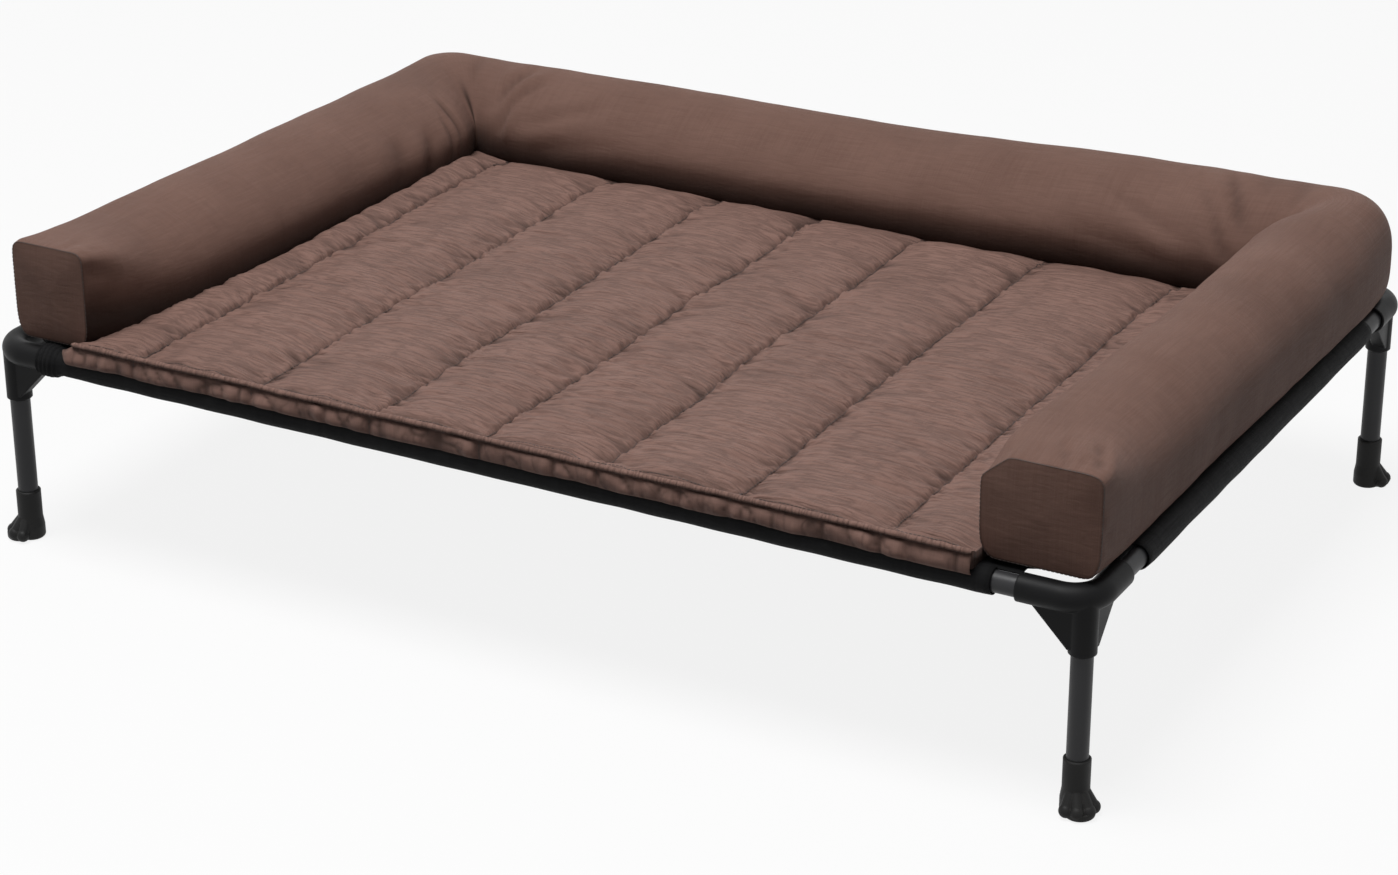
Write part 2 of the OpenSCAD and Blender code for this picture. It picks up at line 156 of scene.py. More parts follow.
def linear(code: str) -> tuple[float, float, float, float]:
    """Linear colour of a hex code such as 856c63."""
    parts = [int(code[k : k + 2], 16) / 255 for k in (0, 2, 4)]
    return (*[c / 12.92 if c <= 0.04045 else ((c + 0.055) / 1.055) ** 2.4 for c in parts], 1.0)


@dataclass(frozen=True)
class Grid:
    """Rows and columns of points that carry a sheet of quads, or a tube where the columns run round."""

    rows: int
    columns: int
    is_round: bool = False

    def cells(self) -> tuple[Array, Array]:
        """Row and column of every cell's first corner.

        Returns:
            The rows and the columns, in the order of the faces.
        """
        count = self.columns if self.is_round else self.columns - 1
        row, column = np.meshgrid(np.arange(self.rows - 1), np.arange(count), indexing="ij")
        return row.ravel(), column.ravel()

    def faces(self, is_flipped: bool = False) -> Array:
        """Corners of every cell.

        Args:
            is_flipped: Whether the faces point the other way.

        Returns:
            Four point numbers for each face.
        """
        row, column = self.cells()
        after = (column + 1) % self.columns
        quads = np.stack(
            [
                row * self.columns + column,
                (row + 1) * self.columns + column,
                (row + 1) * self.columns + after,
                row * self.columns + after,
            ],
            axis=1,
        )
        return quads[:, ::-1] if is_flipped else quads

    def maps(self, along: Array, across: Array, is_flipped: bool = False) -> Array:
        """Cloth map of every face corner.

        Args:
            along: Length of the cloth at every row.
            across: Width of the cloth at every column, with one more where the columns run round.
            is_flipped: Whether the faces point the other way.

        Returns:
            Two coordinates for each face corner.
        """
        row, column = self.cells()
        u = np.stack([along[row], along[row + 1], along[row + 1], along[row]], axis=1)
        v = np.stack([across[column], across[column], across[column + 1], across[column + 1]], axis=1)
        both = np.stack([u, v], axis=2)
        return (both[:, ::-1] if is_flipped else both).reshape(-1, 2)


def place_object(name: str, data: bpy.types.ID) -> bpy.types.Object:
    """Adds an object to the scene, at the origin.

    Args:
        name: Name of the object.
        data: Its mesh, lamp or camera.

    Returns:
        The object.
    """
    placed = bpy.data.objects.new(name, data)
    bpy.context.scene.collection.objects.link(placed)
    return placed


class Shape:
    """Points, faces and cloth map of a mesh while it is put together."""

    def __init__(self) -> None:
        """Starts with nothing."""
        self.points: list[Array] = []
        self.faces: list[list[int]] = []
        self.maps: list[Array] = []
        self.count = 0

    def add(self, points: Array, faces: Array | list, maps: Array) -> int:
        """Adds points and the faces between them.

        Args:
            points: Points in millimetres.
            faces: Point numbers of each face, from 0 for the first of these points.
            maps: Cloth map of each face corner, in millimetres.

        Returns:
            The number of the first new point.
        """
        first = self.count
        self.points.append(np.asarray(points, dtype=float).reshape(-1, 3))
        self.count += len(self.points[-1])
        self.faces.extend([[int(p) + first for p in face] for face in faces])
        self.maps.append(np.asarray(maps, dtype=float).reshape(-1, 2))
        return first

    def piece(self, name: str) -> bpy.types.Object:
        """Makes the object.

        Args:
            name: Name of the piece.

        Returns:
            The new object, at the origin.
        """
        mesh = bpy.data.meshes.new(name)
        mesh.from_pydata((np.concatenate(self.points) * MM).tolist(), [], self.faces)
        layer = mesh.uv_layers.new(name=MAP)
        layer.uv.foreach_set("vector", (np.concatenate(self.maps) * MM).astype(np.float32).ravel())
        mesh.shade_smooth()
        return place_object(name, mesh)


def read_vectors(items: bpy.types.bpy_prop_collection, name: str) -> Array:
    """Vectors that the points of a mesh carry.

    Args:
        items: The points or their normals.
        name: Name of the vector.

    Returns:
        One row for each point.
    """
    flat = np.empty(len(items) * 3, dtype=np.float32)
    items.foreach_get(name, flat)
    return flat.reshape(-1, 3).astype(float)


def read_points(mesh: bpy.types.Mesh) -> Array:
    """Points of a mesh, in millimetres."""
    return read_vectors(mesh.vertices, "co") / MM


def write_points(mesh: bpy.types.Mesh, points: Array) -> None:
    """Moves the points of a mesh to places in millimetres."""
    mesh.vertices.foreach_set("co", (points * MM).astype(np.float32).ravel())
    mesh.update()


def settled_mesh(piece: bpy.types.Object) -> bpy.types.Mesh:
    """Plain mesh of a piece with its modifiers applied."""
    graph = bpy.context.evaluated_depsgraph_get()
    return bpy.data.meshes.new_from_object(piece.evaluated_get(graph), depsgraph=graph)


def apply_modifiers(piece: bpy.types.Object) -> None:
    """Makes a piece's modifiers part of its mesh.

    Args:
        piece: The piece.
    """
    mesh = settled_mesh(piece)
    piece.modifiers.clear()
    mesh.name = piece.name
    piece.data = mesh


def mark_painted_shade(mesh: bpy.types.Mesh, depth: Array) -> None:
    """Keeps the painted shade of each point, from 0 to 1, by which the finish darkens the cloth's colour
    where shade falls.

    Args:
        mesh: The mesh.
        depth: Amount of painted shade at each point, where 1 and more is the darkest.
    """
    layer = mesh.attributes.new(PAINTED_SHADE, "FLOAT", "POINT")
    layer.data.foreach_set("value", np.clip(depth, 0.0, 1.0).astype(np.float32))


def subdivide(piece: bpy.types.Object) -> None:
    """Rounds a piece with one step of subdivision.

    Args:
        piece: The piece.
    """
    finer = piece.modifiers.new("finer", "SUBSURF")
    finer.levels = finer.render_levels = 1
    apply_modifiers(piece)


def thicken(piece: bpy.types.Object, thickness: float) -> None:
    """Gives a sheet its thickness, inwards from its faces.

    Args:
        piece: The sheet.
        thickness: Thickness of the cloth.
    """
    wall = piece.modifiers.new("wall", "SOLIDIFY")
    wall.thickness = thickness * MM
    wall.offset = -1.0
    apply_modifiers(piece)


def lay_on(piece: bpy.types.Object, line: Array, lift: float) -> Array:
    """Moves the points of a line to the nearest places on a piece.

    Args:
        piece: What the line lies on.
        line: Points of the line.
        lift: Height of the line over the surface.

    Returns:
        The moved points.
    """
    moved = []
    for point in line:
        found, place, normal, _ = piece.closest_point_on_mesh(Vector(point) * MM)
        moved.append(np.array(place) / MM + np.array(normal) * lift if found else point)
    return np.array(moved)


def dress(piece: bpy.types.Object, material: bpy.types.Material, body: str) -> None:
    """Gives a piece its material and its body.

    Args:
        piece: The piece.
        material: Its finish.
        body: The body that it moves with.
    """
    piece.data.materials.clear()
    piece.data.materials.append(material)
    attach(piece, body)
    log.info("piece %s on %s: %d faces", piece.name, body, len(piece.data.polygons))


class Nodes:
    """Adds nodes to a tree and links them."""

    def __init__(self, tree: bpy.types.NodeTree) -> None:
        """Works on one tree."""
        self.tree = tree

    def add(self, kind: str, inputs: dict | None = None, **settings: object) -> bpy.types.Node:
        """Adds a node.

        Args:
            kind: Blender's name of the node.
            inputs: Values, or sockets to link, by the name or number of the node's input.
            **settings: Attributes of the node.

        Returns:
            The node.
        """
        node = self.tree.nodes.new(kind)
        for name, value in settings.items():
            setattr(node, name, value)
        self.feed(node, inputs or {})
        return node

    def feed(self, node: bpy.types.Node, inputs: dict) -> None:
        """Sets inputs of a node.

        Args:
            node: The node.
            inputs: Values, or sockets to link, by the name or number of the input.
        """
        for key, value in inputs.items():
            if isinstance(value, bpy.types.NodeSocket):
                self.tree.links.new(value, node.inputs[key])
            else:
                node.inputs[key].default_value = value

    def math(self, operation: str, *values: object) -> bpy.types.NodeSocket:
        """Result of a Math node.

        Args:
            operation: Blender's name of the operation.
            *values: Numbers or sockets.

        Returns:
            The result's socket.
        """
        return self.add("ShaderNodeMath", dict(enumerate(values)), operation=operation).outputs[0]

    def noise(self, place: bpy.types.NodeSocket, stretch: tuple, detail: float = 2.0) -> bpy.types.NodeSocket:
        """Noise over coordinates in metres.

        Args:
            place: The coordinates.
            stretch: Bumps to a metre along each axis.
            detail: Octaves of detail.

        Returns:
            The noise's socket, from 0 to 1.
        """
        spread = self.add("ShaderNodeVectorMath", {0: place, 1: stretch}, operation="MULTIPLY").outputs[0]
        return self.add("ShaderNodeTexNoise", {"Vector": spread, "Scale": 1.0, "Detail": detail}).outputs[0]

    def bump(self, height: bpy.types.NodeSocket, depth: float, **below: object) -> bpy.types.NodeSocket:
        """Normal of a relief, over the normal below it where one is given."""
        inputs = {"Strength": 1.0, "Distance": depth, "Height": height, **below}
        return self.add("ShaderNodeBump", inputs).outputs[0]

    def remap(self, value: bpy.types.NodeSocket, source: Pair, target: Pair) -> bpy.types.NodeSocket:
        """Value moved from one range to another, kept inside it."""
        inputs = {0: value, 1: source[0], 2: source[1], 3: target[0], 4: target[1]}
        return self.add("ShaderNodeMapRange", inputs, clamp=True).outputs[0]

    def tint(self, factor: bpy.types.NodeSocket, first: object, second: object) -> bpy.types.NodeSocket:
        """Colour between two colours, by a factor."""
        return self.add("ShaderNodeMix", {0: factor, 6: first, 7: second}, data_type="RGBA").outputs[2]


def shader_group(name: str, numbers: list[str], outputs: list[str]) -> tuple[Nodes, list, bpy.types.Node]:
    """Starts a shader node group that works on coordinates.

    Args:
        name: Name of the group.
        numbers: Names of the number inputs that come after the coordinates.
        outputs: Names of the number outputs.

    Returns:
        The group's nodes, the sockets that it is given and its output node.
    """
    tree = bpy.data.node_groups.new(name, "ShaderNodeTree")
    tree.interface.new_socket("Vector", in_out="INPUT", socket_type="NodeSocketVector")
    for way, labels in (("INPUT", numbers), ("OUTPUT", outputs)):
        for label in labels:
            tree.interface.new_socket(label, in_out=way, socket_type="NodeSocketFloat")
    nodes = Nodes(tree)
    return nodes, list(nodes.add("NodeGroupInput").outputs), nodes.add("NodeGroupOutput")


class Effects:
    """Shader groups that several finishes share."""

    def __init__(self) -> None:
        """Builds every group once."""
        self.weave = self.build_weave()
        self.slub = self.build_slub()
        self.grain = self.build_grain()
        self.wear = self.build_wear()

    def build_weave(self) -> bpy.types.NodeTree:
        """Plain weave: threads over and under, as a height.

        Returns:
            The group.
        """
        nodes, given, out = shader_group("weave", ["Thread"], ["Height"])
        parts = nodes.add("ShaderNodeSeparateXYZ", {0: given[0]}).outputs
        turns = [nodes.math("DIVIDE", parts[k], given[1]) for k in (0, 1)]
        waves = [nodes.math("SINE", nodes.math("MULTIPLY", turn, math.pi)) for turn in turns]
        over = nodes.math("GREATER_THAN", nodes.math("MULTIPLY", *waves), 0.0)
        crowns = [nodes.math("ABSOLUTE", wave) for wave in waves]
        first = nodes.math("MULTIPLY", crowns[0], over)
        second = nodes.math("MULTIPLY", crowns[1], nodes.math("SUBTRACT", 1.0, over))
        nodes.feed(out, {"Height": nodes.math("ADD", first, second)})
        return nodes.tree

    def build_slub(self) -> bpy.types.NodeTree:
        """Uneven threads: long streaks along both directions of the cloth.

        Returns:
            The group.
        """
        nodes, given, out = shader_group("slub", [], ["Streak", "Patch"])
        fine, coarse = 900.0, 14.0
        ways = [(fine, coarse, coarse), (coarse, fine, coarse)]
        both = nodes.math("ADD", *[nodes.noise(given[0], way, 1.0) for way in ways])
        patch = nodes.noise(given[0], (9.0, 9.0, 9.0), 4.0)
        nodes.feed(out, {"Streak": nodes.math("MULTIPLY", both, 0.5), "Patch": patch})
        return nodes.tree

    def build_grain(self) -> bpy.types.NodeTree:
        """Fine grain of a moulded or coated surface, as a height and a slow patchiness.

        Returns:
            The group.
        """
        nodes, given, out = shader_group("grain", ["Scale"], ["Height", "Patch"])
        inputs = {"Vector": given[0], "Scale": given[1], "Detail": 3.0}
        fine = nodes.add("ShaderNodeTexNoise", inputs).outputs[0]
        nodes.feed(out, {"Height": fine, "Patch": nodes.noise(given[0], (24.0, 24.0, 24.0), 4.0)})
        return nodes.tree

    def build_wear(self) -> bpy.types.NodeTree:
        """Rubbed edges, found where a rounded normal leaves the true one, broken up by scuffs.

        Returns:
            The group.
        """
        nodes, given, out = shader_group("edge_wear", ["Radius"], ["Mask"])
        rounded = nodes.add("ShaderNodeBevel", {"Radius": given[1]}, samples=4).outputs[0]
        true = nodes.add("ShaderNodeNewGeometry").outputs["Normal"]
        match = nodes.add("ShaderNodeVectorMath", {0: rounded, 1: true}, operation="DOT_PRODUCT")
        edge = nodes.remap(match.outputs["Value"], (0.99, 0.85), (0.0, 1.0))
        scuff = nodes.remap(nodes.noise(given[0], (160.0, 160.0, 160.0), 5.0), (0.42, 0.62), (0.0, 1.0))
        nodes.feed(out, {"Mask": nodes.math("MULTIPLY", edge, scuff)})
        return nodes.tree


def start_material(name: str) -> tuple[bpy.types.Material, Nodes, bpy.types.Node]:
    """Starts a material.

    Args:
        name: Name of the material.

    Returns:
        The material, its nodes and its shader.
    """
    material = bpy.data.materials.new(name)
    material.use_nodes = True
    nodes = Nodes(material.node_tree)
    return material, nodes, material.node_tree.nodes["Principled BSDF"]


def use_group(nodes: Nodes, tree: bpy.types.NodeTree, inputs: dict) -> bpy.types.NodeOutputs:
    """Outputs of a shader group that is placed in a material."""
    return nodes.add("ShaderNodeGroup", inputs, node_tree=tree).outputs


@dataclass(frozen=True)
class ClothFinish:
    """Woven cloth with uneven threads and small creases, and painted shade in its folds, creases and
    crevices.
    """

    name: str
    color: str
    deep: str
    roughness: float
    sheen: float
    thread: float = 0.0006
    weave_depth: float = 0.00012
    crinkle: tuple[float, float, float] = (25.0, 90.0, 1.0)
    crinkle_depth: float = 0.0004
    specular: float = 0.12
    painted_shade_tone: float = 0.5
    crease_shade_tone: float = 0.25

    def build(self, effects: Effects) -> bpy.types.Material:
        """Builds the material.

        Args:
            effects: The shared shader groups.

        Returns:
            The material.
        """
        material, nodes, shader = start_material(self.name)
        place = nodes.add("ShaderNodeUVMap", uv_map=MAP).outputs[0]
        weave = use_group(nodes, effects.weave, {"Vector": place, "Thread": self.thread})
        slub = use_group(nodes, effects.slub, {"Vector": place})
        streak = nodes.remap(slub["Streak"], (0.36, 0.64), (0.0, 1.0))
        patch = nodes.remap(slub["Patch"], (0.3, 0.7), (0.0, 1.0))
        shade = nodes.math("MULTIPLY_ADD", streak, 0.35, nodes.math("MULTIPLY", patch, 0.65))
        color = nodes.tint(shade, linear(self.deep), linear(self.color))
        # Painted shade: the colour is drawn towards a dark shadow colour by the mesh's painted-shade
        # attribute.
        fold = nodes.add("ShaderNodeAttribute", attribute_name=PAINTED_SHADE).outputs["Fac"]
        shadow = (*[c * self.painted_shade_tone for c in linear(self.deep)[:3]], 1.0)
        color = nodes.tint(fold, color, shadow)
        # Painted shade along thin crease lines, where the crinkle noise crosses its middle.
        from_line = nodes.math("SUBTRACT", nodes.noise(place, self.crinkle, 2.0), 0.5)
        from_line = nodes.math("ABSOLUTE", from_line)
        line = nodes.remap(from_line, (0.07, 0.0), (0.0, self.crease_shade_tone))
        creases = nodes.bump(nodes.remap(from_line, (0.0, 0.2), (0.0, 1.0)), self.crinkle_depth)
        inputs = {
            "Base Color": nodes.tint(line, color, shadow),
            "Roughness": nodes.remap(streak, (0.0, 1.0), (self.roughness + 0.06, self.roughness - 0.06)),
            "Sheen Weight": self.sheen,
            "Sheen Roughness": 0.45,
            "Specular IOR Level": self.specular,
            "Normal": nodes.bump(weave["Height"], self.weave_depth, Normal=creases),
        }
        nodes.feed(shader, inputs)
        return material


@dataclass(frozen=True)
class HardFinish:
    """Moulded, coated or rubber surface with a fine grain and rubbed edges."""

    name: str
    color: str
    worn: str
    roughness: float
    grain_scale: float
    grain_depth: float
    specular: float
    edge_radius: float
    dusty_below: float = 0.0

    def build(self, effects: Effects) -> bpy.types.Material:
        """Builds the material.

        Args:
            effects: The shared shader groups.

        Returns:
            The material.
        """
        material, nodes, shader = start_material(self.name)
        place = nodes.add("ShaderNodeTexCoord").outputs["Object"]
        grain = use_group(nodes, effects.grain, {"Vector": place, "Scale": self.grain_scale})
        wear = use_group(nodes, effects.wear, {"Vector": place, "Radius": self.edge_radius})
        patch = nodes.remap(grain["Patch"], (0.35, 0.65), (0.0, 1.0))
        mask = nodes.math("MULTIPLY_ADD", patch, 0.12, nodes.math("MULTIPLY", wear["Mask"], 0.7))
        if self.dusty_below > 0.0:
            height = nodes.add("ShaderNodeSeparateXYZ", {0: place}).outputs[2]
            dust = nodes.remap(height, (self.dusty_below, 0.0), (0.0, 0.45))
            mask = nodes.math("MAXIMUM", mask, nodes.math("MULTIPLY", dust, patch))
        rounded = nodes.add("ShaderNodeBevel", {"Radius": self.edge_radius}, samples=6).outputs[0]
        inputs = {
            "Base Color": nodes.tint(mask, linear(self.color), linear(self.worn)),
            "Roughness": nodes.remap(patch, (0.0, 1.0), (self.roughness - 0.05, self.roughness + 0.07)),
            "Specular IOR Level": self.specular,
            "Normal": nodes.bump(grain["Height"], self.grain_depth, Normal=rounded),
        }
        nodes.feed(shader, inputs)
        return material


@dataclass(frozen=True)
class ThreadFinish:
    """Twisted sewing thread."""

    name: str
    color: str

    def build(self) -> bpy.types.Material:
        """Builds the material.

        Returns:
            The material.
        """
        material, nodes, shader = start_material(self.name)
        place = nodes.add("ShaderNodeTexCoord").outputs["Object"]
        ply = nodes.noise(place, (2500.0, 2500.0, 2500.0), 1.0)
        tone = linear(self.color)
        dark = (*[c * 0.6 for c in tone[:3]], 1.0)
        inputs = {"Base Color": nodes.tint(ply, dark, tone), "Roughness": 0.55, "Sheen Weight": 0.2}
        nodes.feed(shader, inputs)
        return material


class Palette:
    """All finishes of the cot, built once."""

    def __init__(self) -> None:
        """Builds the shared groups and the materials."""
        effects = Effects()
        quilt = ClothFinish(
            name="quilt_microfibre",
            color="9a796e",
            deep="87695f",
            roughness=0.5,
            sheen=0.03,
            crinkle=(150.0, 20.0, 1.0),
            crinkle_depth=0.0014,
            crease_shade_tone=0.42,
            painted_shade_tone=0.32,
        )
        band = replace(quilt, name="band_microfibre", crinkle=(40.0, 26.0, 1.0), crease_shade_tone=0.35)
        bolster = ClothFinish(
            name="bolster_microfibre",
            color="84665b",
            deep="72564c",
            roughness=0.6,
            sheen=0.03,
            crinkle_depth=0.0002,
            crease_shade_tone=0.06,
            painted_shade_tone=0.18,
        )
        deck = ClothFinish(
            name="deck_oxford",
            color="161617",
            deep="0f0f10",
            roughness=0.7,
            sheen=0.0,
            thread=0.0011,
            weave_depth=0.0002,
            crinkle_depth=0.0003,
        )
        moulding = HardFinish("moulded_nylon", "0d0d0e", "262628", 0.46, 1400.0, 0.00006, 0.14, 0.0025)
        coat = HardFinish("powder_coat", "29292b", "464648", 0.42, 700.0, 0.00008, 0.34, 0.0006)
        rubber = HardFinish("boot_rubber", "111111", "33312f", 0.55, 1000.0, 0.00005, 0.25, 0.002, 0.02)
        self.quilt, self.band, self.bolster, self.deck = [
            finish.build(effects) for finish in (quilt, band, bolster, deck)
        ]
        self.moulding, self.coat, self.rubber = [finish.build(effects) for finish in (moulding, coat, rubber)]
        self.thread = ThreadFinish("brown_thread", "4a3a35").build()


@dataclass(frozen=True)
class ClothSettle:
    """A short cloth simulation that lets a cut of cloth find its own folds."""

    pressure: float
    growth: float
    frames: int = 20
    cap: float = 8.0
    tension: float = 15.0
    bending: float = 0.2
    mass: float = 0.12

    def run(self, piece: bpy.types.Object, pinned: Array) -> None:
        """Simulates a piece and keeps the result in its mesh.

        Args:
            piece: The cloth.
            pinned: Numbers of the points that stay where they are.
        """
        group = piece.vertex_groups.new(name="pinned")
        group.add([int(k) for k in pinned], 1.0, "REPLACE")
        cloth = piece.modifiers.new("settle", "CLOTH")
        rules = cloth.settings
        rules.quality = 6
        rules.mass = self.mass
        rules.tension_stiffness = rules.compression_stiffness = self.tension
        rules.shear_stiffness = self.tension / 3
        rules.bending_stiffness = self.bending
        rules.vertex_group_mass = group.name
        rules.shrink_min = -self.growth
        rules.use_pressure = True
        rules.uniform_pressure_force = self.pressure
        rules.effector_weights.gravity = 0.0
        cloth.collision_settings.use_collision = False
        cloth.point_cache.frame_start = 1
        cloth.point_cache.frame_end = self.frames
        scene = bpy.context.scene
        for step in range(1, self.frames + 1):
            scene.frame_set(step)
        result = settled_mesh(piece)
        start, moved = read_points(piece.data), read_points(result)
        bpy.data.meshes.remove(result)
        piece.modifiers.remove(cloth)
        piece.vertex_groups.remove(group)
        scene.frame_set(1)
        step = moved - start
        length = np.linalg.norm(step, axis=1, keepdims=True)
        write_points(piece.data, start + step * np.minimum(1.0, self.cap / np.maximum(length, 1e-6)))


@dataclass(frozen=True)
class Crease:
    """A fold pressed into cloth along a straight line of its map."""

    start: Pair
    end: Pair
    depth: float
    width: float

    def rise(self, along: Array, across: Array) -> Array:
        """Height of the cloth round the fold: a groove between two low ridges.

        Args:
            along: First map coordinate of the points.
            across: Second map coordinate of the points.

        Returns:
            Height at each point, below zero in the groove.
        """
        run = (self.end[0] - self.start[0], self.end[1] - self.start[1])
        length = math.hypot(*run)
        offset = (along - self.start[0], across - self.start[1])
        share = (offset[0] * run[0] + offset[1] * run[1]) / length**2
        aside = np.abs(offset[0] * run[1] - offset[1] * run[0]) / length
        fade = smooth_step(-0.12, 0.3, share) * smooth_step(1.12, 0.6, share)
        groove = np.exp(-((aside / self.width) ** 2))
        ridge = np.exp(-(((aside - 2.4 * self.width) / (1.3 * self.width)) ** 2))
        return self.depth * fade * (0.45 * ridge - groove)


@dataclass
class Bolster:
    """Stuffed roll round the left, back and right sides, with a sewn panel on each front end.

    Lengths along the roll start in the middle of the left corner. The girth is zero half way round from the
    middle of the underside, near the crown, and above zero towards the nest. Values in nines are read at the
    left end, a run from it, both sides of the left corner, the middle of the back, both sides of the right
    corner, a run from the right end, and that end. The reaches push the inner side into the nest: the left
    one is read from the end, the swell behind it, a run from the end and the corner; the back one at both
    corners and the middle between them; the right one from the corner to the end.
    """

    plan: Plan
    palette: Palette
    width: float = 106.0
    height: float = 106.5
    front: float = -403.5
    turn_gap: float = 3.0
    corner_round: float = 48.0
    end_squareness: float = 13.0
    low_squareness: float = 4.5
    flat_share: float = 0.05
    end_lift: float = 5.0
    outer_shift: tuple[float, ...] = (-12.0, -6.0, -10.0, -11.0, -3.0, 11.0, 17.0, 9.0, 9.0)
    growth: tuple[float, ...] = (2.0, -3.5, -8.5, -9.0, -7.0, 5.0, 11.0, 4.0, 0.0)
    crown: tuple[float, ...] = (0.5, 0.66, 0.72, 0.75, 0.75, 0.7, 0.47, 0.37, 0.42)
    waist: tuple[float, ...] = (0.44, 0.37, 0.37, 0.38, 0.38, 0.38, 0.4, 0.42, 0.5)
    inner_square: tuple[float, ...] = (2.0, 2.05, 1.75, 1.75, 1.72, 1.8, 2.0, 2.3, 2.4)
    outer_square: tuple[float, ...] = (3.4, 2.8, 2.5, 2.6, 2.6, 2.5, 2.0, 1.9, 2.3)
    left_reach: tuple[float, ...] = (-4.5, 12.0, 21.0, 31.0)
    back_reach: tuple[float, ...] = (14.0, 13.5, 13.0)
    right_reach: tuple[float, ...] = (10.0, 5.0, 3.0)
    crease_depth: float = 10.5
    crease_fade: float = 12.0
    corner_run: float = 60.0
    corner_fade: float = 70.0
    lift_run: float = 40.0
    chamfer_run: float = 42.0
    end_run: float = 130.0
    bulge_run: float = 45.0
    crisp_run: Pair = (30.0, 90.0)
    chamfer: Pair = (26.0, 23.0)
    around: int = 68
    pitch: float = 8.0
    turn_rings: int = 20
    panel_dome: float = 4.0
    thread_lift: float = 0.1
    seam_inset: float = 2.0
    deepest: float = 9.0
    gather_run: float = 15.0
    pull_run: float = 40.0
    calm_run: float = 40.0
    # Girth over which painted shade darkens the lower inner side of the roll, where it meets the pad.
    crevice_shade: Pair = (76.0, 124.0)
    # Girth range and width of the painted shade line down each inner corner.
    corner_shade: Pair = (26.0, 64.0)
    corner_shade_width: float = 7.0
    # Painted shade along the seams of the end panels.
    seam_shade: float = 0.6
    swell: Ripple = Ripple(2.0, (170.0, 120.0), 11)
    wave: Ripple = Ripple(1.2, (64.0, 80.0), 12)
    slack: Ripple = Ripple(0.5, (26.0, 60.0), 13)
    gather: Ripple = Ripple(1.5, (7.0, 1.0), 14)
    pull: Ripple = Ripple(1.4, (16.0, 60.0), 15)
    panel_wave: Ripple = Ripple(1.3, (30.0, 46.0), 16)
    seam_lines: list[Array] = field(default_factory=list)

    def turn_width(self, angle: Array) -> Array:
        """Width of the roll in a corner turn.

        Args:
            angle: Angle of the turn, from 0 to a right angle.

        Returns:
            Width from the turn's centre to the rounded outside.
        """
        full = self.width + self.turn_gap
        straight = full - self.corner_round
        lean = np.minimum(angle, math.pi / 2 - angle)
        reach = straight * (np.cos(angle) + np.sin(angle))
        curved = reach + np.sqrt(np.maximum(reach**2 - 2 * straight**2 + self.corner_round**2, 0.0))
        return np.where(full * np.tan(lean) <= straight, full / np.cos(lean), curved)

    def stations(self) -> dict[str, Array]:
        """Places of the rings along the U.

        Returns:
            For every ring its inner place, outward direction, width, length along the roll, distance
            from the nearer end and distance from the nearer turn, and the length to the right corner.
        """
        pivot = (self.plan.nest_x - self.turn_gap, self.plan.nest_y - self.turn_gap)
        side = pivot[1] - self.front
        count = round(side / self.pitch)
        steps = np.concatenate([[0.0, self.seam_inset], np.linspace(self.pitch, side, count)])[:-1]
        angles = np.linspace(0.0, math.pi / 2, self.turn_rings, endpoint=False)
        back = np.linspace(-pivot[0], pivot[0], round(2 * pivot[0] / self.pitch), endpoint=False)
        arc = (self.width / 2 + self.turn_gap) * math.pi / 2
        far = arc + 2 * pivot[0]
        rows = [(-self.plan.nest_x, self.front + s, -1.0, 0.0, self.width, s - side - arc / 2) for s in steps]
        for a in angles:
            along = (a / (math.pi / 2) - 0.5) * arc
            rows.append(self.turn_row(-pivot[0], pivot[1], -math.cos(a), math.sin(a), a, along))
        rows += [(x, self.plan.nest_y, 0.0, 1.0, self.width, arc / 2 + x + pivot[0]) for x in back]
        for a in angles:
            along = far + (a / (math.pi / 2) - 0.5) * arc
            rows.append(self.turn_row(pivot[0], pivot[1], math.sin(a), math.cos(a), a, along))
        last = np.concatenate([steps, [side]])[::-1]
        reached = far + arc / 2 + side
        rows += [(self.plan.nest_x, self.front + s, 1.0, 0.0, self.width, reached - s) for s in last]
        table = np.array(rows)
        along = table[:, 5]
        corner = np.minimum(np.abs(along), np.abs(along - far))
        return {
            "place": table[:, 0:2],
            "outward": table[:, 2:4],
            "width": table[:, 4],
            "along": along,
            "end": np.minimum(along - along[0], along[-1] - along),
            "turn": np.maximum(corner - arc / 2, 0.0),
            "far": np.array([far]),
        }

    def turn_row(self, x: float, y: float, out_x: float, out_y: float, angle: float, along: float) -> tuple:
        """Row of a ring in a corner turn, whose width starts a gap away from the turn's centre."""
        width = float(self.turn_width(np.array(angle))) - self.turn_gap
        return (x + out_x * self.turn_gap, y + out_y * self.turn_gap, out_x, out_y, width, along)

